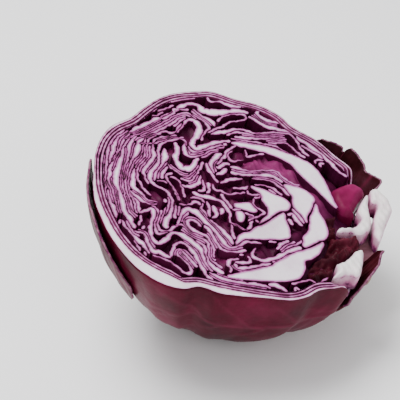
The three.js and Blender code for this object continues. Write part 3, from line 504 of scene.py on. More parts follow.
# Each leaf is a line on the cut face: u, v and half the thickness. Each midrib is an outline.
LEAVES = [
    # layers round the tip of the head, outermost first
    [(-42, 68, 0.4), (-49, 58, 0.4), (-56, 47, 0.4), (-63, 39, 0.4), (-68.8, 29, 0.7), (-70.4, 20, 0.8),
     (-70.6, 6, 0.5), (-70.3, -8, 0.4), (-68.6, -20, 0.4), (-65, -32, 0.4)],
    [(-60, 39, 0.4), (-65.3, 32, 0.5), (-67.3, 25, 1.1), (-68.2, 17, 1.1), (-69, 9, 0.5)],
    [(8, 76, 1), (2, 76, 1.2), (-5.4, 72.8, 1.8), (-12, 70.2, 2.6), (-18, 70, 2.6), (-21.5, 73.3, 1.3),
     (-25, 74, 1.1), (-30, 70.8, 1.3), (-34.5, 64.5, 1.7), (-39, 58.3, 2), (-45, 52.5, 2.1),
     (-51, 46.5, 1.7), (-56.5, 41, 1.3), (-61.3, 34, 0.8), (-63.6, 26, 0.7), (-65.4, 18, 0.8),
     (-67.5, 10, 0.8), (-68.3, 1, 0.9), (-68.3, -6, 0.7), (-65.8, -12, 0.6), (-64, -20, 0.5),
     (-61.4, -29, 0.4)],
    [(-68.5, -12, 0.6), (-67.5, -19, 0.5), (-64.4, -26, 1.2), (-62.8, -33, 0.6)],
    [(-58, 36, 0.4), (-61.6, 27, 0.5), (-62.6, 17, 1.1), (-63.8, 9, 1.6), (-64.9, 0, 1.6), (-64.4, -6, 1.3),
     (-62, -13, 1), (-60, -20, 1.6), (-58, -28, 1.1), (-54.5, -33.5, 1.2), (-52.3, -38.5, 0.7)],
    [(-55.5, 36.5, 0.4), (-58.5, 27, 0.9), (-59, 18, 0.8), (-60.9, 6, 0.5), (-61, -7, 0.4),
     (-58.4, -17, 0.5), (-56.4, -25, 0.5), (-52.5, -30.5, 0.4)],
    [(-47, 40.5, 0.4), (-53, 33.5, 0.8), (-54, 25.5, 1.5), (-56.2, 17.5, 0.8), (-58.6, 8, 0.4),
     (-59.3, -4, 0.4), (-57, -15, 0.4), (-54, -26, 0.4)],
    [(-55, 9, 0.4), (-55.8, 0, 1.2), (-54.6, -6, 1.3), (-50.3, -10.3, 0.8), (-46.5, -14.2, 0.5),
     (-40.8, -14.6, 0.4)],
    [(-57, -12, 0.4), (-53, -17, 0.9), (-51, -21.5, 1.1), (-50.3, -25, 0.8), (-47, -22.4, 1),
     (-44.2, -21.2, 1.1), (-42.9, -25, 1), (-44.2, -33, 0.8), (-43.2, -42, 0.9), (-40, -46, 1.1),
     (-36.3, -43.8, 1.6), (-33.5, -38.5, 1), (-30, -35.6, 0.8), (-26, -37.2, 1.5), (-20.5, -40.8, 1.6),
     (-16.3, -46, 1.1), (-13.5, -54, 0.9), (-9.5, -59.8, 0.7)],
    [(-49.8, 38.3, 0.4), (-51.3, 28, 0.4), (-52.2, 19.5, 0.5), (-55.3, 12, 0.4)],
    [(-37, 41.8, 0.4), (-44.5, 36.5, 0.5), (-46, 29, 0.5), (-44.7, 22, 1), (-48.3, 12.5, 1),
     (-49.8, 7, 0.9), (-47, -1.5, 0.4)],
    # the long leaf that runs from the middle to the tip and folds back
    [(-28.7, 43.3, 0.6), (-36.3, 38.6, 1), (-41.5, 33.5, 0.6), (-42.6, 26, 0.5), (-42.2, 18, 0.9),
     (-46, 9, 1.1), (-46.4, 3.5, 1.1), (-42, -1.8, 0.7), (-37, -3.7, 1), (-34.3, -8, 0.5), (-33, -16, 0.6),
     (-34.5, -23.5, 1.2), (-36.1, -29, 1.8), (-35.9, -33.8, 0.8)],
    [(-39.4, 30.5, 0.6), (-38.6, 24.5, 1.5), (-40, 17, 0.7), (-43, 9, 0.6), (-43.8, 2, 0.6)],
    [(-33.2, 37.5, 0.9), (-32.3, 30, 1.4), (-32.4, 22.5, 1.5), (-28.2, 17.3, 1.9), (-24.4, 18.3, 1.9),
     (-21.7, 24, 1.2), (-20, 28.3, 0.5)],
    [(-28, 39.5, 0.5), (-27.7, 32, 1.1), (-24.8, 27.8, 0.6), (-18.5, 31, 0.5), (-13, 36.5, 0.5),
     (-8.6, 38.6, 0.6)],
    # the folded leaf whose thick rib makes the long white arc
    [(-33, 46, 0.6), (-29.4, 53.5, 0.6), (-27.2, 59, 0.8), (-22.3, 59, 1.6), (-20.2, 54, 1.8),
     (-21.4, 47.5, 1.6), (-24, 39.5, 1.2), (-21.4, 35.8, 1.2), (-16, 40, 1.6), (-8.5, 45.7, 1),
     (-2, 47.9, 1)],
    [(-13.5, 50.5, 0.4), (-6.2, 54.7, 1.3), (3, 60.2, 0.6), (12, 59.3, 0.7), (21, 62.3, 0.6),
     (31.5, 64.9, 0.6), (36, 60, 0.6), (39, 53, 0.8), (43.6, 48.9, 0.5)],
    [(0, 52.3, 0.9), (8, 53.6, 0.8), (18.5, 56.5, 0.6), (30.5, 59.5, 0.4)],
    [(19.5, 53, 0.5), (30.5, 55.8, 0.5), (35.5, 50.7, 0.5), (41.3, 46.6, 0.5)],
    [(-9.6, 62.5, 0.7), (-7.4, 67.5, 0.5), (-2, 71.4, 0.5), (5.6, 73.4, 0.5), (5.4, 68.8, 0.5),
     (-2, 65, 0.6), (-7.5, 59, 0.5), (-15.4, 51.5, 0.5)],
    [(-24.5, 69.5, 0.5), (-19.5, 65, 0.6), (-13.3, 61.8, 1.1), (-11.4, 58, 0.5)],
    [(-25, 64, 0.4), (-18.5, 61.3, 0.5), (-14.7, 56.3, 0.6), (-17.8, 48.5, 0.5), (-18.8, 43.5, 0.4)],
    [(-45, 69, 0.6), (-40, 72.6, 0.7), (-31, 77.6, 0.5), (-22.5, 82.6, 0.5)],
    [(-16.5, 82.5, 0.7), (-15, 79.2, 0.7), (-9, 80.3, 0.6), (-4, 79.3, 1), (2, 79.7, 0.9), (10, 82.6, 0.7)],
    [(15.5, 81.5, 0.7), (12.8, 77, 0.7), (15.5, 74.2, 1.1), (20, 72.8, 1.2), (29, 71.9, 0.6),
     (34, 68.7, 0.6), (42.5, 63, 0.7), (50, 57.3, 0.8), (57, 51.8, 0.6)],
    [(8, 73, 1), (12, 71, 1), (16.5, 67.8, 1.3), (25.5, 66.7, 1.2), (33.5, 66.2, 1), (39.5, 61.8, 1.5),
     (46.3, 56.2, 1.2), (52.5, 51.8, 1.2), (55.6, 47.5, 1.4), (59.5, 42.3, 0.9), (65.5, 37.6, 0.9)],
    [(61, 49, 0.7), (65.8, 48.8, 1), (68.8, 43.5, 0.9), (71, 38.5, 0.9)],
    # small leaves in the middle of the heart
    [(-36.8, 16, 0.5), (-39.2, 11.5, 0.9), (-39.8, 5, 0.5)],
    [(-37, 18.3, 0.4), (-34.6, 15.4, 0.4), (-28, 11.5, 0.6), (-23.5, 13.5, 0.5), (-19.6, 22.5, 0.4)],
    [(-34, 11.5, 0.4), (-37.6, 7.5, 0.4), (-34, 1.5, 0.4), (-31, -4.5, 0.5), (-29.4, -10, 0.6)],
    [(-35.4, 7.6, 0.4), (-32, 7.6, 0.4), (-28.4, 1.5, 0.4), (-26.4, -6.5, 0.4)],
    [(-29.5, 8.6, 0.6), (-24.2, 7.6, 0.6), (-20.9, 13.5, 0.5), (-17.2, 25.8, 0.5)],
    [(-29, 3.6, 0.4), (-24, 3, 1.1), (-19.4, 7.5, 1), (-18.2, 14.5, 0.4)],
    [(-15.3, 25.5, 0.5), (-14, 20, 0.9), (-8.3, 11, 0.5)],
    [(-6.8, 36, 1.1), (-11, 30.5, 1.6), (-12.6, 25.5, 0.9), (-10.7, 18, 0.4)],
    [(1.5, 46, 0.4), (-3.2, 39.5, 0.6), (-6.3, 32.3, 0.9), (-9.6, 26, 0.4)],
    [(-0.8, 40.2, 0.4), (-3.5, 35.5, 0.5), (-1, 31.6, 0.5), (6, 34.2, 0.4)],
    [(6.4, 43.5, 0.4), (7.6, 37.5, 0.5), (11.5, 40, 0.7), (17.5, 43, 0.5)],
    [(-9.6, 17.2, 0.5), (-5.4, 20.8, 1.3), (-3.9, 24.2, 0.7)],
    [(-7, 10.8, 0.5), (-2.5, 15.2, 1.2), (5.5, 18.2, 0.5)],
    [(-2, 26.5, 0.5), (1.5, 26.7, 1.1), (9, 26, 0.5), (17, 28.8, 0.6), (24.3, 30.4, 0.6), (28.6, 26.2, 0.7),
     (34, 22.8, 0.6), (38, 22.9, 0.4)],
    [(-1.6, 21.6, 1), (5, 21.6, 0.7), (14.5, 24.2, 0.9), (21, 26.2, 1.5), (25.2, 24.4, 0.8),
     (28.4, 22.2, 0.7)],
    [(10.5, 20.2, 0.6), (20.5, 21.4, 0.6), (27.3, 17.2, 0.8), (32, 11.9, 0.7)],
    [(12, 15.6, 0.5), (20.5, 16.2, 0.5), (28, 11.3, 0.4)],
    [(-22.6, -0.8, 0.7), (-17.5, -2.6, 1.2), (-12, -2.3, 1.3), (-6.5, -3.9, 0.7), (-1.4, -11.2, 0.7),
     (-0.9, -18.5, 0.5), (4, -20.8, 0.8), (7.6, -22.8, 0.7)],
    [(-6.8, 2.2, 0.9), (-2.6, -3.4, 0.7), (0, -8.2, 0.5)],
    [(11.8, 4, 0.6), (12.3, -1.4, 0.5), (18, -6, 0.5), (12.5, -11, 0.6), (9, -11.9, 0.5)],
    [(11.5, -14.2, 0.5), (10.3, -18, 0.9), (8.6, -22.2, 0.6)],
    # folds of the lower middle
    [(-38.4, -20, 0.4), (-40.3, -30, 0.5), (-39, -36, 0.5), (-34, -34.6, 0.5), (-29.2, -28, 0.6),
     (-27.8, -20, 0.7), (-24.7, -15.4, 1.4), (-20.3, -16, 1.9), (-15.5, -20.9, 1.2), (-9.8, -27, 1),
     (-4.7, -34.3, 1.5), (-0.5, -38.9, 0.7), (4.5, -35.4, 0.6), (9.3, -31.6, 0.8), (17, -30.5, 0.6)],
    [(-12.5, -20.3, 0.4), (-7.2, -24.2, 1), (-2.3, -30.3, 1.4), (0.9, -36, 0.6)],
    [(-16.6, -26.8, 0.8), (-21, -22.6, 1), (-25, -25.3, 1.2), (-20.7, -31, 1.2), (-13.3, -33.6, 0.7),
     (-9.8, -41, 0.6), (-9.2, -49, 0.6)],
    [(-15.3, -25.2, 0.5), (-11.4, -29.5, 1), (-6.6, -39.3, 0.7), (-2, -42.2, 0.5), (8.5, -38.6, 0.7)],
    [(-27, -30.5, 0.5), (-21.5, -35, 0.5), (-14.5, -36.7, 0.7), (-12, -42.5, 0.7), (-11.5, -50, 0.5),
     (-4.5, -56, 0.6)],
    [(-19.5, -38.5, 0.4), (-14.2, -41.6, 0.8), (-13.2, -48.5, 0.6), (-10.3, -55.7, 1.4),
     (-3.4, -59.6, 0.9)],
    [(-53, -40.8, 0.5), (-47.3, -40.8, 0.8), (-44.7, -47.5, 0.8), (-42, -52.6, 1), (-38, -52.8, 1.5),
     (-33.2, -55, 0.8), (-31.3, -48.5, 0.7), (-28.5, -42.5, 0.7), (-24.2, -43.5, 0.9), (-19.8, -48.3, 1.1),
     (-16.5, -56, 0.9), (-13, -63, 0.8), (-8, -66.6, 1.1), (0, -67.8, 0.8), (10, -66.5, 0.8),
     (22, -66.9, 1), (29, -66.6, 0.5)],
    [(-17.8, -58.6, 1), (-22.2, -53.4, 0.7), (-27.3, -47.8, 0.5), (-28.7, -52.2, 0.5), (-22.3, -58.3, 0.6),
     (-21.2, -63.6, 0.8), (-25, -64.6, 0.7), (-30.8, -59.4, 0.6), (-42, -56, 0.4)],
    [(-11.6, -60.6, 0.5), (-6, -63.2, 1), (4, -64.2, 0.8), (17, -62.8, 1), (22, -64, 0.4)],
    [(20.5, -61, 0.8), (27, -61.2, 1.5), (31, -64.2, 0.7)],
    [(30, -67.3, 0.4), (34.3, -64.4, 0.8), (35.6, -60, 0.8), (39.5, -61.7, 1), (46.5, -57.6, 1.1),
     (51.5, -51.8, 1)],
    [(2, -50.3, 1), (4.2, -53.5, 1.1), (12, -50.2, 0.8), (22, -44.8, 0.8)],
    [(38.6, -27.6, 1), (31.5, -32.8, 1.2), (24, -40.2, 1.3), (15.6, -43.9, 1), (11.7, -40.4, 0.8),
     (13.5, -35, 0.4)],
    [(24.8, -33, 0.8), (28, -27.6, 0.8), (31.8, -24.4, 0.7)],
    [(31, -4, 0.7), (33.6, -2.2, 0.8), (36.4, -7.6, 1), (39.5, -10.6, 0.9)],
]
FINE_LEAVES = [
    # curled layers between the small ribs
    [(0.6, -19.9, 0.6), (3.9, -20.9, 0.6), (6.4, -22.2, 0.6), (9.1, -22.6, 0.6)],
    [(-0.3, -20.3, 0.6), (0.6, -26, 0.6), (1.8, -31.6, 0.6)],
    [(6.6, -9.4, 0.6), (9, -9.6, 0.6), (12.1, -11.2, 0.6), (9, -15.2, 0.6)],
    # thin layers under the thick leaf at the back left
    [(-60.3, 36.6, 0.5), (-52.1, 43.4, 0.5), (-45.6, 51.1, 0.5), (-39.1, 59.8, 0.5), (-32.4, 66.3, 0.5),
     (-26.7, 68.1, 0.5)],
    [(-61.7, 31.8, 0.5), (-54.1, 38.4, 0.5), (-47.6, 44.8, 0.5), (-41.1, 52.7, 0.5), (-35.6, 59.5, 0.5),
     (-30, 63.9, 0.5), (-25.4, 64.3, 0.5), (-22.3, 60.7, 0.5)],
    [(-56.6, 32.2, 0.5), (-49.6, 38.6, 0.5), (-42, 46.2, 0.5), (-36.5, 52.2, 0.5), (-32.1, 58.7, 0.5),
     (-28.2, 61.3, 0.5)],
    [(-51.7, 35.4, 0.5), (-45.1, 40.4, 0.5), (-39.6, 44.8, 0.5), (-36.2, 44.5, 0.5), (-32.9, 48.1, 0.5),
     (-30.3, 54.7, 0.5)],
    [(-53.2, 30.4, 0.5), (-45.9, 32.9, 0.5), (-39.3, 37.5, 0.5), (-33.8, 41.5, 0.5), (-29.2, 41.1, 0.5),
     (-27, 36.2, 0.5)],
    [(-60, 37.5, 0.4), (-63, 32.5, 0.5), (-64.8, 27, 0.5), (-64.9, 21, 0.5), (-66, 16, 0.6),
     (-67.3, 11.5, 0.6)],
    [(-51.6, 22.5, 0.4), (-53.5, 18.5, 0.4), (-55.7, 14, 0.4), (-56.6, 9, 0.4), (-57.4, 4, 0.4),
     (-57.8, -1, 0.4), (-57.6, -6, 0.4), (-56.8, -11, 0.4), (-54.5, -15, 0.4), (-53.3, -19, 0.4),
     (-52.8, -23, 0.4), (-51.7, -26.5, 0.4)],
    [(-56.8, -9.5, 0.5), (-54.3, -11.8, 0.9), (-51.5, -13.2, 1.1), (-49.5, -15.7, 0.7), (-46.8, -16.9, 0.5),
     (-43.6, -16.6, 0.4), (-41, -15.6, 0.4)],
    [(-44.5, -18.3, 0.4), (-41.8, -19, 0.4), (-40.6, -22, 0.4), (-41, -27, 0.4), (-41.8, -32, 0.4),
     (-41.4, -36.5, 0.5), (-39.8, -38.8, 0.5), (-37, -37.8, 0.5), (-34.5, -36, 0.4)],
    [(-47.5, 68.5, 0.4), (-43.5, 73, 0.5), (-38, 77.6, 1), (-32, 80.5, 1), (-25, 83.6, 0.8),
     (-19, 86.5, 0.6)],
    [(-44.5, 61, 0.4), (-41, 64, 0.4), (-38, 66.8, 0.4), (-35.5, 69.2, 0.35)],
    [(-47.5, 56.3, 0.4), (-44.5, 57.5, 0.5), (-42.2, 60, 0.5), (-41.3, 61.5, 0.4)],
    [(-4.5, 52.3, 0.4), (-2.3, 55, 0.5), (2, 57.2, 0.5), (8, 57.2, 0.45), (13, 57.4, 0.45), (18, 58.8, 0.5),
     (23.5, 60.3, 0.5), (28.5, 61.5, 0.4)],
    [(-2, 50.2, 0.4), (6, 51, 0.4), (14, 51.2, 0.5), (22, 51.5, 0.6), (28, 49.5, 0.4), (34, 46.8, 0.4),
     (40, 45, 0.4)],
    [(38.5, 57, 0.4), (42, 55.2, 0.4), (46.5, 52.8, 0.8), (49.8, 50.5, 0.9), (51.6, 48.8, 0.5)],
    [(47.2, 43.5, 0.4), (46.8, 46.3, 0.5), (49, 47.6, 0.5), (52, 47.8, 0.6)],
    [(50.3, 41.5, 0.7), (49.8, 44.3, 0.4), (52.5, 45, 0.4)],
    [(-26.3, 36.5, 0.5), (-24.8, 33.5, 0.6), (-21.8, 32.5, 0.5), (-19, 34, 0.5), (-15.5, 36.8, 0.6),
     (-12, 39.8, 0.8), (-8.5, 41.8, 0.9), (-5.2, 42.8, 1.1)],
    [(-44.5, 40.5, 0.4), (-48.3, 36, 0.4), (-49.2, 30, 0.4), (-49, 25, 0.4), (-48.6, 20, 0.4),
     (-50.5, 16.5, 0.5), (-52.4, 13, 0.5), (-53.4, 8, 0.5), (-53.4, 3.5, 0.4), (-52.3, 0, 0.4),
     (-50.8, -3, 0.4), (-48.8, -6, 0.4), (-46.8, -8.2, 0.4), (-44.6, -10.5, 0.4)],
    [(-17.5, 11, 0.4), (-16.6, 8, 0.4), (-15.8, 5, 0.4), (-16.8, 2.3, 0.4), (-19.5, 1.2, 0.5)],
    [(-13.9, 9.5, 0.9), (-13.4, 5, 0.5), (-13.3, 2, 0.5), (-14.5, 0.5, 0.4)],
    [(-11.3, 9, 0.4), (-10.7, 6.5, 0.4), (-9.3, 4.4, 0.5), (-6.5, 4.8, 0.7), (-4.2, 4, 0.5), (-2, 3.3, 0.6),
     (1, 4.5, 0.5), (4, 5.8, 0.5), (7, 7.5, 0.5)],
    [(0, 9, 0.8), (3, 10, 0.7), (6.8, 11.3, 0.9), (8.5, 13.5, 0.4)],
    [(-10.2, 24, 0.5), (-8.7, 23.2, 0.8), (-7.5, 25, 0.7), (-6, 26.8, 0.6), (-3.6, 28.4, 0.7),
     (-2, 27.3, 0.5)],
    [(-4.6, 45.6, 0.7), (-5.4, 43.2, 1.2), (-7.6, 41, 0.8), (-10.2, 39.5, 0.6)],
    [(0, -8.3, 0.5), (3, -7.8, 0.5), (6, -6.3, 0.6)],
    [(-42.5, 2.5, 0.4), (-39, 3.5, 0.4), (-36.5, 2.2, 0.4)],
    [(8.3, 9.5, 0.4), (8.7, 7, 0.5), (11, 6.8, 0.5), (14.3, 8.3, 0.5), (15.5, 7, 0.4), (14, 5, 0.4),
     (12, 4.3, 0.7)],
    [(13, -13, 0.4), (15.5, -14.8, 0.4)],
    [(20.2, 14.4, 0.4), (22, 12.6, 0.4), (24.8, 11.3, 0.4)],
    [(-14.5, -6, 0.4), (-13, -10, 0.5), (-12.8, -14, 0.5), (-12, -18, 0.4)],
    [(-16.5, -8, 0.4), (-17, -12, 0.6), (-15.3, -15.5, 0.6), (-13.8, -18.5, 0.4)],
    [(-10.5, -8, 0.6), (-9.3, -12, 1), (-9, -16, 0.8), (-11, -18.5, 0.5)],
    [(-5.8, -9, 0.8), (-5.5, -12.5, 0.7), (-6.3, -14.5, 0.4)],
    [(-25.5, -12.5, 0.5), (-23.5, -10.5, 0.5), (-21.5, -8.7, 0.9), (-19, -8.5, 0.9), (-17.3, -10, 0.4)],
    [(-23.5, -6, 0.4), (-21, -4.5, 0.5), (-17.5, -5, 0.6), (-15.3, -7.5, 0.4)],
    [(-29.5, -12, 0.5), (-27, -12.3, 0.4), (-24.5, -12, 0.4)],
    [(-29, -14, 0.4), (-29.4, -18, 0.4), (-29.3, -22, 0.4)],
    [(-31.3, -14, 0.4), (-31.2, -19, 0.5), (-31.7, -23, 0.7), (-30.5, -24.5, 0.4)],
    [(-31.8, -2.5, 0.5), (-30.5, -6.5, 0.8), (-29.3, -10, 0.9)],
    [(-37.4, -10.5, 0.9), (-37.3, -13.5, 0.8)],
    [(-36.5, -17, 0.4), (-37, -21, 0.4), (-38.2, -26, 0.4), (-38.9, -31, 0.4)],
    [(-30.5, -30, 0.4), (-27.3, -28.2, 0.5), (-25, -30, 0.4), (-22, -33, 0.4), (-19, -34, 0.6),
     (-15, -34.8, 0.6)],
    [(0, -57.8, 0.4), (0, -54.5, 0.5), (-1.2, -52, 1.2), (-1.3, -49, 0.9), (0.8, -47.3, 0.6),
     (4.5, -46.5, 0.5)],
    [(2.2, -49.5, 0.5), (6, -48, 0.8), (10, -47.3, 0.6), (10.5, -44.5, 0.4), (9, -42.5, 0.4)],
    [(4.5, -43, 0.9), (7, -42.5, 0.5)],
    [(-52.5, -47.5, 0.4), (-49.8, -52, 0.4), (-48.8, -56.5, 0.4), (-47, -58.2, 0.4), (-45.6, -57.5, 0.4),
     (-46.3, -54.5, 0.4)],
    [(-64.5, -34.5, 0.4), (-62.8, -37, 0.9), (-60.8, -36.2, 0.6), (-60.2, -33.5, 0.4)],
    [(-60, -34, 0.4), (-57.5, -38.5, 0.4), (-54, -43, 0.5), (-51, -46, 0.9), (-48.5, -48.5, 1.2),
     (-46, -51.5, 0.6), (-43.5, -55.5, 0.4)],
    [(-57, -33.5, 0.4), (-53.5, -41, 0.4), (-49.5, -44, 0.4)],
    [(-49.5, -27, 0.4), (-49.5, -31, 0.4), (-50.5, -35.5, 0.4)],
    [(-47.3, -35, 0.4), (-48.5, -38, 0.4)],
    [(33, -57.3, 0.4), (37.5, -55, 0.5), (41.5, -52.2, 0.6), (43.8, -51.6, 0.4), (46.3, -53.3, 0.6),
     (48.5, -52.5, 0.6), (51.5, -48.8, 0.5), (53.5, -46.8, 0.4)],
    [(33.5, 2, 0.5), (36.3, -1.5, 0.8), (38.8, -5, 0.9), (40, -8.3, 0.6)],
    [(31.3, -7, 0.9), (33, -10, 0.7), (33.8, -11.5, 0.5)],
    [(27.5, -34.5, 0.5), (30, -31.3, 0.5), (32.8, -28, 0.5), (35.5, -26.6, 0.5), (37.8, -24, 0.4),
     (38.6, -22, 0.4)],
    [(20.5, -28.3, 0.5), (25, -27.3, 0.5)],
]
MIDRIBS = [
    # the long arc, cut along its rib
    [(-1.2, 47), (8.6, 48.8), (15.5, 49.6), (21.3, 49.6), (27.1, 48.8), (35.3, 46.5), (41.1, 44),
     (46.3, 39.6), (49.7, 34.6), (52.5, 28.3), (54.7, 21.8), (56.9, 15), (58.8, 10.2), (55.7, 13),
     (51.8, 17.6), (46.7, 23.6), (41.5, 28.8), (37, 34.2), (32.9, 39.4), (27.1, 42.4), (19.6, 44.4),
     (12.1, 45.3), (3.4, 45.4)],
    [(10.6, 13.4), (18.5, 12.2), (27.5, 9.4), (32.2, 4.6), (30.4, 0.3), (24.7, -4.6), (20, -11),
     (15, -15.6), (19.8, -8.2), (20.6, -2), (16.7, 4.8), (14.8, 9.8)],
    [(28.6, -2.8), (30, -9), (31.6, -17), (30.8, -22.2), (21, -25.8), (8, -29.2), (3, -35.6), (4.4, -28.5),
     (10.8, -22.4), (17.5, -15.2), (24.2, -7.2)],
    [(29.5, 20.2), (37.5, 19.8), (43.2, 17), (45.9, 12), (44.3, 3), (41.8, -1.5), (41.8, -7), (38.6, -1.6),
     (34.6, 3.2), (34, 11), (31.2, 15.5)],
    [(46.8, 9.6), (48.4, 2.5), (51.8, -4.5), (52.8, -13.8), (48.4, -20.4), (40.6, -26.4), (40.2, -20),
     (43.6, -12.6), (43.6, -4), (44.8, 3)],
    [(40, -37.6), (39.8, -44), (36.6, -51.8), (28, -56.2), (12, -59.6), (-1, -61), (8, -55.6),
     (20.5, -47.4), (29.4, -39.6), (34, -34.4), (43, -27.8), (50.4, -20.2), (48.4, -28.4), (44, -34.6)],
    [(3, -3), (6, -2), (10, -0.5), (12, -2.5), (13.5, -5), (12, -6.6), (8.5, -6.4), (4.5, -6.6), (2, -6),
     (1.5, -4.2)],
    [(2.5, -9.5), (3.2, -13.4), (4.2, -16.4), (5.8, -15.5), (6.6, -11.9), (6, -9.1), (4.1, -8.4)],
]
STEP_ALONG = 0.55
LEAST_HALF = 0.22
LEAF_CLEARANCE = 0.2
REACH = 7.0
PLACES_AT_ONCE = 200
LEAST_AHEAD = 0.04
OWN_NEIGHBOURS = 2
CRINKLES = [(3.1, 0.10), (5.7, 0.16), (9.3, 0.16)]
ANY_PHASE = 6.3


def evenly_spaced(leaf, closed=False):
    """A leaf's line smoothed and laid out in even steps: u, v and half the thickness."""
    dense, _ = spline(leaf, closed, CURVE_STEPS)
    if closed:
        dense = np.vstack([dense, dense[:1]])
    travel = np.concatenate([[0], np.cumsum(np.linalg.norm(np.diff(dense[:, :2], axis=0), axis=1))])
    count = max(int(travel[-1] / STEP_ALONG), 4)
    at = np.linspace(0, travel[-1], count + 1)
    if closed:
        at = at[:-1]
    return np.column_stack([np.interp(at, travel, dense[:, k]) for k in range(dense.shape[1])])


def evenly_spaced_outline(outline):
    """A closed outline smoothed and laid out in even steps: u and v."""
    return evenly_spaced([(u, v, 0) for u, v in outline], closed=True)[:, :2]


def normals_of(line, closed=False):
    """Unit directions to the left of a line."""
    if closed:
        way = np.roll(line[:, :2], -1, axis=0) - np.roll(line[:, :2], 1, axis=0)
    else:
        way = np.gradient(line[:, :2], axis=0)
    way /= np.linalg.norm(way, axis=1)[:, None] + 1e-9
    return np.stack([-way[:, 1], way[:, 0]], 1)


def inside_on_left(outline):
    """A closed outline with its places in the order that keeps its inside on the left."""
    u, v = outline.T
    area = 0.5 * np.sum(u * np.roll(v, -1) - np.roll(u, -1) * v)
    return outline[::-1] if area < 0 else outline


def room_beside(places, normals, halves, everything, weights, owner, own_walls=False):
    """How far each place may reach along its normal before it meets its neighbours half way."""
    room = np.full(len(places), REACH)
    for start in range(0, len(places), PLACES_AT_ONCE):
        some = slice(start, start + PLACES_AT_ONCE)
        away = everything[None] - places[some, None]
        square = (away ** 2).sum(2)
        ahead = (away * normals[some, None]).sum(2)
        near = (square < REACH ** 2) & (ahead > LEAST_AHEAD)
        if not own_walls:
            index = np.arange(start, start + away.shape[0])[:, None]
            near &= np.abs(np.arange(len(everything))[None] - index - owner) > OWN_NEIGHBOURS
        share = halves[some, None] / (halves[some, None] + weights[None] + 1e-6)
        reach = np.where(near, square * share / np.maximum(ahead, 1e-6), REACH)
        room[some] = reach.min(1)
    return room


def crinkled(line, draw):
    """A leaf's line with the small uneven waves of a crumpled leaf."""
    travel = np.arange(len(line)) * STEP_ALONG
    ease = np.minimum(1, np.minimum(travel, travel[-1] - travel) / 3)
    wave = np.zeros(len(line))
    for length, height in CRINKLES:
        turns = travel * 2 * math.pi / (length * draw.uniform(0.85, 1.2))
        wave += height * np.sin(turns + draw.uniform(0, ANY_PHASE))
    moved = line.copy()
    moved[:, :2] += normals_of(line) * (wave * ease)[:, None]
    moved[:, 2] *= 1 + 0.12 * np.sin(travel * draw.uniform(0.6, 0.9) + draw.uniform(0, ANY_PHASE))
    return moved


class Heap:
    """Places, faces and measures of many pieces that go into one mesh."""

    def __init__(self, measures):
        self.places = []
        self.faces = []
        self.finish_of_face = []
        self.measures = {title: [] for title in measures}
        self.count = 0

    def add(self, places, faces, finish_of_face, **measures):
        """One more piece on the heap; a measure that it doesn't give is zero."""
        self.faces += [tuple(self.count + corner for corner in face) for face in faces]
        self.places.append(places)
        self.finish_of_face += finish_of_face
        for title, values in self.measures.items():
            values.append(np.broadcast_to(measures.get(title, 0.0), (len(places),)))
        self.count += len(places)

    def object(self, name, finishes):
        """The whole heap as one object."""
        measures = {title: np.concatenate(values) for title, values in self.measures.items()}
        return new_mesh(name, np.vstack(self.places), self.faces, finishes, self.finish_of_face, measures)


ACROSS = np.array([-1.0, -0.93, -0.72, -0.4, 0.0, 0.4, 0.72, 0.93, 1.0])
WALL_LEVELS = [-0.12, -1.2, -3.8, -8.0, -13.0]
EDGE_DROP = 0.1
MOST_LEAN = 0.5


def running_mean(values, reach):
    """Values evened out over their neighbours on both sides."""
    return np.convolve(np.pad(values, reach, mode="edge"), np.ones(2 * reach + 1) / (2 * reach + 1), "valid")


def sliced_leaf(heap, line, left, right, draw):
    """One leaf that runs down from its cut edge: pale flat top, skins on both sides, closed below."""
    normal = normals_of(line)
    ends = np.minimum(1, np.minimum(np.arange(len(line)), np.arange(len(line))[::-1]) / 2 + 0.35)
    left = left * ends
    right = right * ends
    lift = draw.uniform(-0.1, 0.06)
    travel = np.arange(len(line)) * STEP_ALONG
    loops = []
    rinds = []
    middle = line[:, :2] + normal * ((left - right) / 2)[:, None]
    half = (left + right) / 2
    for share in ACROSS:
        level = np.full(len(line), lift - EDGE_DROP * share ** 6)
        loops.append(np.column_stack([middle + normal * (half * share)[:, None], level]))
        rinds.append(half * (1 - abs(share)))
    walls = {1: [], -1: []}
    drift = draw.uniform(-MOST_LEAN, MOST_LEAN)
    phase = draw.uniform(0, ANY_PHASE)
    for level in WALL_LEVELS:
        deep = min(level / PACK_FLOOR, 1)
        sway = deep * (drift + 0.35 * np.sin(travel * 0.45 + phase + deep * 2))
        for side in (1, -1):
            reach = half * (1 - 0.25 * deep) * side + sway
            depths = np.full(len(line), level + lift)
            walls[side].append(np.column_stack([middle + normal * reach[:, None], depths]))
    loops += walls[1] + walls[-1][::-1]
    rinds += [np.zeros(len(line))] * (2 * len(WALL_LEVELS))
    around = len(loops)
    places = np.stack(loops, 1).reshape(-1, 3)
    rind = np.stack(rinds, 1).reshape(-1)
    faces = band_faces(len(line), around)
    pale = len(ACROSS) - 1
    finish_of_face = ([0] * pale + [1] * (around - pale)) * (len(line) - 1)
    last = (len(line) - 1) * around
    faces.append(tuple(range(around - 1, -1, -1)))
    faces.append(tuple(last + index for index in range(around)))
    finish_of_face += [1, 1]
    heap.add(places, faces, finish_of_face, rind=rind)


LEAST_ROOM = 0.42
MOST_ROOM = 1.9
LEAST_RUN = 26
THIN_HALF = 0.42
MOST_STEP = 4 * STEP_ALONG
WIDER = 1.12
FILL = 0.7


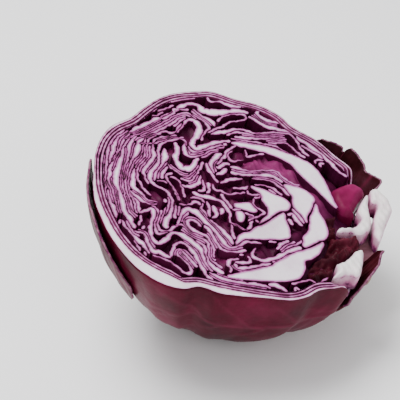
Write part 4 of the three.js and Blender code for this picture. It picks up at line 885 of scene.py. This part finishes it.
def leaves_between(lines, walls):
    """Thin leaves that lie folded in the narrow gaps between the leaves that are there."""
    found = list(lines)
    for line in list(lines):
        normal = normals_of(line)
        for way in (1, -1):
            others = np.vstack([other for other in found if other is not line])
            around = np.vstack([others[:, :2], line[:, :2], walls])
            weights = np.concatenate([others[:, 2], line[:, 2], np.zeros(len(walls))])
            room = room_beside(line[:, :2], normal * way, line[:, 2], around, weights, len(others))
            free = room - line[:, 2]
            there = (free > LEAST_ROOM) & (free < MOST_ROOM)
            start = 0
            while start < len(line):
                stop = start
                while stop < len(line) and there[stop]:
                    stop += 1
                if stop - start >= LEAST_RUN:
                    run = slice(start, stop)
                    width = running_mean(free[run], 5)
                    middle = line[run, :2] + normal[run] * way * (line[run, 2] + width)[:, None]
                    smooth = np.column_stack([running_mean(middle[:, k], 5) for k in (0, 1)])
                    step = np.linalg.norm(np.diff(smooth, axis=0), axis=1)
                    if step.max() < MOST_STEP:
                        half = np.minimum(THIN_HALF, width * 0.7)
                        found.append(np.column_stack([smooth, half]))
                start = max(stop, start + 1)
    return found[len(lines):]


RIB_GROWTH = 1.1
RIB_CLEARANCE = 0.45


def grown_rib(index, ribs, leaves):
    """A cut rib's outline let out until it comes near the leaves and ribs round it."""
    outline = inside_on_left(ribs[index])
    other_ribs = [rib for number, rib in enumerate(ribs) if number != index]
    others = np.vstack(other_ribs + [leaf[:, :2] for leaf in leaves])
    outward = -normals_of(outline, closed=True)
    halves = np.ones(len(outline))
    room = room_beside(outline, outward, halves, others, np.ones(len(others)), 0, own_walls=True)
    step = np.clip(room - RIB_CLEARANCE, 0, RIB_GROWTH)
    for _ in range(4):
        step = (np.roll(step, 1) + step + np.roll(step, -1)) / 3
    return outline + outward * step[:, None]


draw_leaves = random.Random(7)
heart_inset = 3 * GAP + 2 * WRAPPER_THICKNESS
heart_edge = edge_inside(LEAF_SIDES, 1, heart_inset)
leaf_lines = [crinkled(evenly_spaced(leaf), draw_leaves) for leaf in LEAVES + FINE_LEAVES]
rib_lines = [evenly_spaced_outline(rib) for rib in MIDRIBS]
rib_lines = [grown_rib(index, rib_lines, leaf_lines) for index in range(len(rib_lines))]
obstacles = np.vstack(rib_lines + [heart_edge])
leaf_lines += leaves_between(leaf_lines, obstacles)
all_lines = np.vstack(leaf_lines)
everything = np.vstack([all_lines[:, :2], obstacles])
nominal = np.maximum(all_lines[:, 2] * WIDER + 0.05, LEAST_HALF)
weights = np.concatenate([nominal, np.zeros(len(obstacles))])
heart = Heap(["rind", "glow"])
place = 0
for line in leaf_lines:
    mine = slice(place, place + len(line))
    normal = normals_of(line)
    sides = []
    for way in (1, -1):
        room = room_beside(line[:, :2], normal * way, nominal[mine], everything, weights, place)
        grown = nominal[mine] + FILL * (1 - smooth_step(room - nominal[mine], FILL, 2.5 * FILL))
        half = np.clip(room - LEAF_CLEARANCE / 2, LEAST_HALF, grown)
        eased = running_mean(half, 2)
        sides.append(np.maximum(np.minimum(half, eased), LEAST_HALF))
    sliced_leaf(heart, line, sides[0], sides[1], draw_leaves)
    place += len(line)

heart_cut = cut_flesh("sliced_leaf_flesh", (0.78, 0.68, 0.77), (0.52, 0.22, 0.45), (0.34, 0.06, 0.24))
heart_skin = leaf_skin("sliced_leaf_skin", (0.022, 0.001, 0.010), (0.055, 0.003, 0.025),
                       (0.13, 0.010, 0.062), 0.04)


RIB_INSETS = [0.0, 0.1, 0.3, 0.6, 1.1, 1.8, 2.8]
RIB_LEVELS = [-0.15, -1.0, -3.0, -6.5, -10.0, -13.0]


def sliced_rib(heap, outline):
    """A thick white rib cut along: a flat pale face inside a dark skin line, with steep sides."""
    outline = inside_on_left(outline)
    inward = normals_of(outline, closed=True)
    halves = np.ones(len(outline))
    room = room_beside(outline, inward, halves, outline, halves, 0, own_walls=True) * 0.9
    rings = []
    rinds = []
    count = len(outline)
    for inset in RIB_INSETS:
        step = np.minimum(inset, room)
        level = np.full(count, -EDGE_DROP * math.exp(-inset * 12))
        rings.append(np.column_stack([outline + inward * step[:, None], level]))
        rinds.append(step)
    for level in RIB_LEVELS:
        sway = 0.25 * np.sin(np.arange(count) * 0.35 + level) * min(-level / 8, 1)
        rings.insert(0, np.column_stack([outline - inward * sway[:, None], np.full(count, level)]))
        rinds.insert(0, np.zeros(count))
    places = np.vstack(rings)
    rind = np.concatenate(rinds)
    faces = band_faces(len(rings), count)
    wall = len(RIB_LEVELS) * count
    finish_of_face = [1] * wall + [0] * (len(faces) - wall)
    top_ring = (len(rings) - 1) * count
    faces.append(tuple(top_ring + side for side in range(count)))
    faces.append(tuple(range(count - 1, -1, -1)))
    finish_of_face += [0, 1]
    heap.add(places, faces, finish_of_face, rind=rind)


for outline in rib_lines:
    sliced_rib(heart, outline)


CRUMPLE_RISE = 7.6
FLOOR_SIDES = 180
FLOOR_RINGS = 110
CORE_RINGS = 30
# Share of that brighter magenta, partly painted light, on the rest of the floor.
DEEP_LIT_SHARE = 0.08
# Leaves that lie flat between the sliced ones: middle u and v, half lengths, rise, and how much brighter
# magenta is painted on them, partly their skin colour and partly painted light
FLAT_LEAVES = [
    (22, 34, 19, 9, 2.2, 0.9), (50, 20, 6, 19, 2.0, 0.5), (64, -6, 8, 8, 1.0, 0.0),
    (-25, 62, 20, 6, 1.5, 0.35), (40, 52, 20, 6, 1.5, 0.35),
]


def crumpled_floor(heap, edge, depth, level):
    """The close core under the leaves: a crumpled dark top, painted brighter magenta where flat leaves rise
    (partly their skin colour, partly painted light), and below it the shape of the heart.
    """
    count = len(edge)
    turn = np.arctan2(edge[:, 1], edge[:, 0])
    inset = width_kept(turn, -level / depth)[:, None]
    rings = []
    glow = []
    for share in np.linspace(0.02, 1, FLOOR_RINGS):
        ring = edge * inset * share
        folds = 1.0 * np.sin(ring[:, 0] * 0.55 + 1.6 * np.sin(ring[:, 1] * 0.23))
        folds += 0.8 * np.sin(ring[:, 1] * 0.62 + 1.3 * np.sin(ring[:, 0] * 0.31))
        folds += 0.5 * np.sin(ring[:, 0] * 1.4 + ring[:, 1] * 0.9)
        rise = folds + CRUMPLE_RISE
        lit_share = np.full(count, DEEP_LIT_SHARE)
        # Flat leaves get more of the brighter magenta: partly their skin colour, partly painted light on
        # them.
        for u, v, half_u, half_v, lift, tint in FLAT_LEAVES:
            near = np.exp(-(((ring[:, 0] - u) / half_u) ** 2 + ((ring[:, 1] - v) / half_v) ** 2) ** 2)
            rise += near * lift
            lit_share = np.maximum(lit_share, near * tint)
        rings.append(np.column_stack([ring, level + rise * (1 - share ** 8)]))
        glow.append(lit_share)
    for down in np.linspace(math.asin(-level / depth), math.pi / 2 - 0.03, CORE_RINGS)[1:]:
        kept = width_kept(turn, math.sin(down))[:, None]
        rings.append(np.column_stack([edge * kept, np.full(count, -depth * math.sin(down))]))
        glow.append(np.zeros(count))
    faces = band_faces(len(rings), count, going_down=True)
    last = (len(rings) - 1) * count
    faces.append(tuple(range(count)))
    faces.append(tuple(last + side for side in range(count - 1, -1, -1)))
    heap.add(np.vstack(rings), faces, [1] * len(faces), glow=np.concatenate(glow))


def kept_inside(places):
    """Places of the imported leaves, held back where they would reach through the wrapped ones."""
    turns = np.arctan2(heart_edge[:, 1], heart_edge[:, 0])
    turn = np.arctan2(places[:, 1], places[:, 0])
    limit = np.interp(turn, turns, np.linalg.norm(heart_edge, axis=1), period=2 * math.pi)
    limit = limit * width_kept(turn, -places[:, 2] / heart_depth)
    held = np.minimum(1, limit / np.maximum(np.linalg.norm(places[:, :2], axis=1), 1e-6))
    return np.column_stack([places[:, :2] * held[:, None], places[:, 2]])


heart_depth = HEAD_DEPTH - BASE_THICKNESS - heart_inset
crumpled_floor(heart, edge_inside(FLOOR_SIDES, 1, heart_inset), heart_depth, PACK_FLOOR)
heart.places = [kept_inside(places) for places in heart.places]
packed = heart.object("packed_heart", [heart_cut, heart_skin])
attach(packed, "root")
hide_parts("packed_leaves")

# Stalk
# The head's own stalk was cut off level outside and narrows into the heart under the cut face. It is
# pale dry fibrous flesh with a thin green and lilac rind, and its cut end shows rings of strands.
STALK_RADIUS = 15.0
STALK_AXIS = (4.0, -28.0)
STALK_OUTLINE = [(28, 0.5), (28.3, 4), (48, 10.5), (66, 14), (82, 15), (85.6, 14.6), (86.7, 13.6), (86.9, 11)]
STALK_SIDES = 120


def turned_stalk(outline, rings_inside):
    """The stalk as a turned form along u, with a cut end that is a little rough and hollow."""
    places = []
    rind = []
    across = [(outline[-1][0] - 0.5 * (1 - k / rings_inside) ** 0.5, outline[-1][1] * k / rings_inside)
              for k in range(rings_inside - 1, 0, -1)]
    dense, _ = spline(outline, False, 6)
    rows = [tuple(row) for row in dense] + across
    turn = np.linspace(0, 2 * math.pi, STALK_SIDES, endpoint=False)
    for u, radius in rows:
        ridge = 1 + 0.018 * np.sin(turn * 5 + 0.05 * u) + 0.008 * np.sin(turn * 17 + 0.11 * u)
        on_end = radius < 13 and u > 80
        rough = 0.25 * np.sin(turn * 9 + radius * 1.7) if on_end else np.zeros(STALK_SIDES)
        side = radius * ridge
        places.append(np.column_stack([np.full(STALK_SIDES, u) + rough, STALK_AXIS[0] + side * np.cos(turn),
                                       STALK_AXIS[1] + side * np.sin(turn)]))
        rind.append(np.full(STALK_SIDES, STALK_RADIUS - radius if u > 85 else 0.0))
    faces = band_faces(len(rows), STALK_SIDES)
    last = (len(rows) - 1) * STALK_SIDES
    faces.append(tuple(last + side for side in range(STALK_SIDES)))
    faces.append(tuple(range(STALK_SIDES - 1, -1, -1)))
    return np.vstack(places), faces, np.concatenate(rind)


def stalk_flesh():
    """Dry cream flesh with fine strands, browner and lilac at the rind."""
    finish = Finish("stalk_flesh", 0.62, 0.25)
    fibres = finish.span(finish.noise(320.0, 5.0, 0.6, (0.2, 1.0, 1.0)), 0.35, 0.65)
    cream = [(0.0, (0.55, 0.47, 0.36)), (0.5, (0.72, 0.66, 0.55)), (1.0, (0.82, 0.78, 0.70))]
    body = finish.ramp(fibres, cream)
    edge = finish.span(finish.measure("rind"), 0.0, 2.5)
    rim = finish.ramp(edge, [(0.0, (0.34, 0.14, 0.22)), (0.4, (0.55, 0.45, 0.36)), (1.0, (1.0, 1.0, 1.0))])
    finish.feed(finish.shader.inputs["Base Color"], finish.mix(1.0, body, rim, "MULTIPLY"))
    finish.raised(fibres, 0.4, 0.0005)
    return finish.material


stalk_places, stalk_faces, stalk_rind = turned_stalk(STALK_OUTLINE, 14)
stalk = new_mesh("cut_stalk", stalk_places, stalk_faces, [stalk_flesh()], measures={"rind": stalk_rind})
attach(stalk, "root")
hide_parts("stalk")

# Leaf stalks
# Thick fleshy leaf bases were torn through at the stalk end. They are white and wet inside, with
# rounded broken tops and a thin wine red skin that shows along their edges.
INNER_LEAF_STALK = [
    (77.3, 26.5), (74.2, 21.4), (71.4, 12.5), (73.2, 7.6), (71.8, 2.4), (67.5, -2), (61.2, -3.2), (60, -7.4),
    (67, -5.6), (73.4, -5.8), (77.6, -1.4), (79.1, 4), (77.8, 16),
]
OUTER_LEAF_STALK = [
    (79, 30.4), (84, 31.3), (88.6, 27), (91.3, 18.5), (88, 7), (85.6, -3), (83.6, -8.6), (81, -3), (80.6, 8),
    (83, 19.6), (79.2, 21.6),
]
LOWER_LEAF_STALK = [
    (58.8, -33.6), (64.5, -28.5), (70, -19.7), (74, -19.6), (73.4, -30), (71, -39.6), (64.4, -40.4),
    (56.6, -45.2), (58.8, -39),
]
GRAIN = 0.42
SMOOTHINGS = 6
PIECE_FLOOR = PACK_FLOOR + GAP
TOP_STARTS = 0.8
TOP_FULL = 0.95


def close_grained(outline, low, high):
    """The places and faces of a prism of a flat outline, remeshed in a fine even grain."""
    count = len(outline)
    places = np.vstack([np.column_stack([outline, np.full(count, level)]) for level in (low, high)])
    faces = [(side, (side + 1) % count, count + (side + 1) % count, count + side) for side in range(count)]
    faces += [tuple(range(count - 1, -1, -1)), tuple(range(count, 2 * count))]
    mesh = bpy.data.meshes.new("rough_piece")
    mesh.from_pydata(places.tolist(), [], faces)
    rough = bpy.data.objects.new("rough_piece", mesh)
    bpy.context.collection.objects.link(rough)
    grain = rough.modifiers.new("grain", "REMESH")
    grain.mode = "VOXEL"
    grain.voxel_size = GRAIN
    smoothing = rough.modifiers.new("smoothing", "SMOOTH")
    smoothing.iterations = SMOOTHINGS
    fine = rough.evaluated_get(bpy.context.evaluated_depsgraph_get()).to_mesh()
    found = np.empty(len(fine.vertices) * 3)
    fine.vertices.foreach_get("co", found)
    faces = [tuple(face.vertices) for face in fine.polygons]
    bpy.data.objects.remove(rough)
    return found.reshape(-1, 3), faces


def rounded_piece(name, outline, height_at, crown, rounding, finishes, node):
    """A fleshy piece that stands on the heart, with steep sides and a rounded uneven top."""
    rim = inside_on_left(evenly_spaced_outline(outline))
    places, faces = close_grained(rim, PIECE_FLOOR, 0.0)
    tree = KDTree(len(rim))
    for index, (u, v) in enumerate(rim):
        tree.insert((u, v, 0.0), index)
    tree.balance()
    edge_distance = np.array([tree.find((u, v, 0.0))[2] for u, v, _ in places])
    raised = (places[:, 2] - PIECE_FLOOR) / -PIECE_FLOOR
    on_top = smooth_step(raised, TOP_STARTS, TOP_FULL)
    crowned = crown * (1 - np.clip(1 - edge_distance / rounding, 0, 1) ** 2) - crown
    top = height_at(places[:, 0], places[:, 1]) + crowned
    places[:, 2] = PIECE_FLOOR + raised * (top - PIECE_FLOOR)
    rind = (edge_distance + 0.3) * on_top + (0.15 + 1.2 * raised ** 2) * (1 - on_top)
    centres = np.array([on_top[list(face)].mean() for face in faces])
    finish_of_face = [0 if share > 0.5 else 1 for share in centres]
    piece = new_mesh(name, places, faces, finishes, finish_of_face, {"rind": rind})
    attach(piece, "root")
    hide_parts(node)


def broken_top(u, v):
    """The uneven height of a stalk that was torn through: low lumps and fine strands."""
    lumps = 0.45 * np.sin(u * 0.62 + 1.3) * np.sin(v * 0.48) + 0.25 * np.sin(u * 1.3 + v * 0.9)
    return lumps + 0.08 * np.sin(u * 4.1 + 0.8 * v) - 0.2


def broken_top_towards_front(u, v):
    """A broken top that falls away towards the front."""
    return broken_top(u, v) + (v - 10) * 0.06 + 0.5


stump_flesh = cut_flesh("leaf_stalk_flesh", (0.84, 0.80, 0.79), (0.80, 0.66, 0.72), (0.56, 0.24, 0.40))
stump_side = cut_flesh("leaf_stalk_side", (0.76, 0.60, 0.66), (0.62, 0.34, 0.46), (0.40, 0.10, 0.24))
for title, outline, height_at in (
    ("inner_leaf_stalk", INNER_LEAF_STALK, broken_top_towards_front),
    ("outer_leaf_stalk", OUTER_LEAF_STALK, broken_top_towards_front),
    ("lower_leaf_stalk", LOWER_LEAF_STALK, broken_top),
):
    rounded_piece(f"{title}_flesh", outline, height_at, crown=2.2, rounding=2.6,
                  finishes=[stump_flesh, stump_side], node=title)

# Cupped leaf
# One small leaf bulges over the stalk end like a cap. It wasn't cut, so its smooth magenta skin
# shows, with a satin gleam.
CUPPED_LEAF = [
    (60.5, 11), (56.8, 20), (57, 26), (62, 31), (68, 34.2), (73, 33.4), (76.2, 29.6), (72.6, 22), (69.8, 14),
    (69.8, 9.6), (65, 8.4),
]


def cap_height(u, v):
    """The cap's own swell, with low folds across it."""
    folds = 0.35 * np.sin(u * 0.33 + v * 0.16) + 0.12 * np.sin(u * 0.9 - v * 0.7)
    return 0.04 * (v - 22) + folds + 0.8


cupped_skin = leaf_skin("cupped_leaf_skin", (0.075, 0.002, 0.018), (0.17, 0.006, 0.055),
                        (0.30, 0.025, 0.13), 0.08)
rounded_piece("cupped_leaf_cap", CUPPED_LEAF, cap_height, crown=4.5, rounding=4.5,
              finishes=[cupped_skin, cupped_skin], node="cupped_leaf")

# Ruffled leaf
# Beside the stalk one leaf is crushed into a dark tuft. Its ridges run from the stalk towards the
# white midribs, dull wine red on top and nearly black between.
RUFFLED_LEAF = [
    (53.6, 3.5), (58.4, 4.6), (59.2, -8.8), (69.5, -8), (73.6, -11.4), (68.4, -17.8), (62.6, -27.4),
    (57.4, -33.6), (55.4, -43.5), (45.6, -49), (43.8, -40.4), (51.8, -27.4), (55, -16),
]


def ruffles(u, v):
    """The height of the tuft: sharp ridges along its length, and finer ones between."""
    along = u * 0.8 + v * 0.6
    across = v * 0.8 - u * 0.6
    ridge = 1.9 * np.sin(across * 0.75 + 0.7 * np.sin(along * 0.3)) + 0.6 * np.sin(along * 0.9)
    fine = 0.6 * np.sin(across * 1.9 + 1.6 * np.sin(along * 0.45)) + 0.25 * np.sin(along * 2.1 + across)
    return ridge + fine - 3.2


ruffled_skin = leaf_skin("ruffled_leaf_skin", (0.014, 0.001, 0.003), (0.052, 0.004, 0.011),
                         (0.13, 0.016, 0.036), 0.10)
rounded_piece("ruffled_leaf_tuft", RUFFLED_LEAF, ruffles, crown=1.5, rounding=2.0,
              finishes=[ruffled_skin, ruffled_skin], node="ruffled_leaf")

# Leaves that stand off
# At the left an outer leaf has come loose and hangs off the head, and two torn leaves stand round
# the stalk end, dark and half dried, with thin pinkish torn edges.
# A crest holds the turn round the head in degrees, how far it stands off, and its height over
# the cut face.
LOOSE_LEAF_CREST = [
    (170, 1.4, -4), (176, 1.7, -1), (185, 2, 0), (195, 2.4, 0), (205, 3, 0), (213, 3.3, -2.5), (219, 2.9, -7),
    (225, 2.3, -13), (231, 1.5, -20),
]
TORN_LEAF_BACK_CREST = [
    (55.5, 1.5, -5), (52.6, 1.8, 0), (50.6, 4.2, 0), (47.9, 6.9, 0), (45, 8.5, 0), (43.9, 8.8, -2.5),
    (42.9, 12.2, 0), (40.3, 12.2, 0), (36.6, 10, 0), (33.1, 8.1, 0), (31.6, 7.8, -1.5), (28.1, 9.8, 0),
    (24.5, 12.2, 0.5), (23.2, 8, -4), (22, 3, -10),
]
TORN_LEAF_FRONT_CREST = [
    (351.5, 6, -6), (350, 8.8, -2), (347, 7.6, -1), (343, 7.8, -3), (340, 6.6, -3), (336.5, 5, -6),
    (333, 3.4, -11), (330, 1.6, -17),
]
LEAF_HOLD = 1.4
TORN_LEAF_THICKNESS = 1.25
STANDING_COLUMNS = 150
STANDING_ROWS = 56
TEARS = [(2.3, 0.28), (4.1, 0.4), (9.7, 0.35)]
END_ROUNDING = 9
END_SHARE = 0.16
torn_skin = leaf_skin("torn_leaf_skin", (0.014, 0.002, 0.003), (0.048, 0.006, 0.010),
                      (0.10, 0.018, 0.026), 0.2)
torn_edge = cut_flesh("torn_leaf_edge", (0.6, 0.4, 0.5), (0.42, 0.22, 0.32), (0.22, 0.07, 0.13))
rim_places, _ = spline(OUTER_EDGE, True, CURVE_STEPS)
rim_turns = np.arctan2(rim_places[:, 1], rim_places[:, 0])


def rim_radius(turn):
    """The outer leaf's radius at the cut face, at turns round the head."""
    match = np.cos(rim_turns[None] - turn[:, None])
    return np.linalg.norm(rim_places[match.argmax(1), :2], axis=1)


def standing_leaf(name, crest, depth, fold, folds, tear, finish, node, seed):
    """A leaf that stands off the head, from its ragged crest down to where it lies on the leaf below."""
    draw = random.Random(seed)
    dense, _ = spline(crest, False, 40)
    at = np.linspace(0, len(dense) - 1, STANDING_COLUMNS + 1)
    line = np.column_stack([np.interp(at, np.arange(len(dense)), dense[:, k]) for k in range(3)])
    ragged = np.zeros(len(line))
    for length, height in TEARS:
        ragged += tear * height * np.sin(at * 0.35 / length * 3 + draw.uniform(0, ANY_PHASE))
    turn = np.radians(line[:, 0])
    radius = rim_radius(turn)
    share = np.linspace(0, 1, STANDING_COLUMNS + 1)
    down = np.linspace(0, 1, STANDING_ROWS + 1)[None]
    top = (line[:, 2] + np.minimum(ragged, 0.3))[:, None]
    free = (1 - down) ** 1.3
    ends = np.minimum(share, 1 - share)[:, None]
    shorter = END_ROUNDING * np.clip(1 - ends / END_SHARE, 0, 1) ** 2 + 1.2 * np.sin(share * 17)[:, None] ** 2
    level = top + (shorter - depth - top) * down
    bend = fold * np.sin(share * folds)[:, None] * free * down * 3
    crease = 0.35 * np.sin(share[:, None] * folds * 2.7 + 3 * down) * np.sin(down * math.pi)
    crease = crease + 0.18 * np.sin(share[:, None] * folds * 6.1 - 5 * down + 2) * np.sin(down * math.pi)
    inset = width_kept(turn[:, None], -level / HEAD_DEPTH)
    skins = []
    for lift in (TORN_LEAF_THICKNESS, 0.0):
        out = radius[:, None] * inset + LEAF_HOLD + (line[:, 1:2] - LEAF_HOLD) * free + bend + crease + lift
        low = level - lift * down / 2
        grid = np.stack([out * np.cos(turn)[:, None], out * np.sin(turn)[:, None], low], 2)
        skins.append(grid.reshape(-1, 3))
    across = STANDING_ROWS + 1
    back = len(skins[0])
    faces = []
    finish_of_face = []
    for column in range(STANDING_COLUMNS):
        for row in range(STANDING_ROWS):
            here = column * across + row
            beside = here + across
            faces.append((here, here + 1, beside + 1, beside))
            faces.append((back + here, back + beside, back + beside + 1, back + here + 1))
            finish_of_face += [0, 0]
        top_here = column * across
        low_here = top_here + STANDING_ROWS
        faces.append((top_here, top_here + across, back + top_here + across, back + top_here))
        faces.append((low_here + across, low_here, back + low_here, back + low_here + across))
        finish_of_face += [1, 0]
    last = STANDING_COLUMNS * across
    for row in range(STANDING_ROWS):
        faces.append((row + 1, row, back + row, back + row + 1))
        faces.append((last + row, last + row + 1, back + last + row + 1, back + last + row))
        finish_of_face += [1, 1]
    places = np.vstack(skins)
    # Paler streaks along the folds, stronger near the crest: partly leaf ribs, partly painted highlights on
    # the folds. They go in as the vein measure.
    ribs = np.exp(-(np.abs(np.sin(share[:, None] * folds * 0.9 + 0.4 * down)) / 0.10) ** 2) * (1 - 0.6 * down)
    vein = np.concatenate([ribs.reshape(-1)] * 2)
    rind = np.full(len(places), TORN_LEAF_THICKNESS * 0.3)
    piece = new_mesh(name, places, faces, [finish, torn_edge], finish_of_face, {"rind": rind, "vein": vein})
    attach(piece, "root")
    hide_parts(node)


standing_leaf("loose_leaf_margin", LOOSE_LEAF_CREST, depth=44, fold=0.5, folds=11, tear=0.4,
              finish=wine_skin, node="loose_outer_leaf", seed=31)
standing_leaf("torn_leaf_at_back", TORN_LEAF_BACK_CREST, depth=40, fold=0.8, folds=9, tear=0.35,
              finish=torn_skin, node="torn_leaf_back", seed=32)
standing_leaf("torn_leaf_in_front", TORN_LEAF_FRONT_CREST, depth=35, fold=1.2, folds=14, tear=1.0,
              finish=torn_skin, node="torn_leaf_front", seed=33)
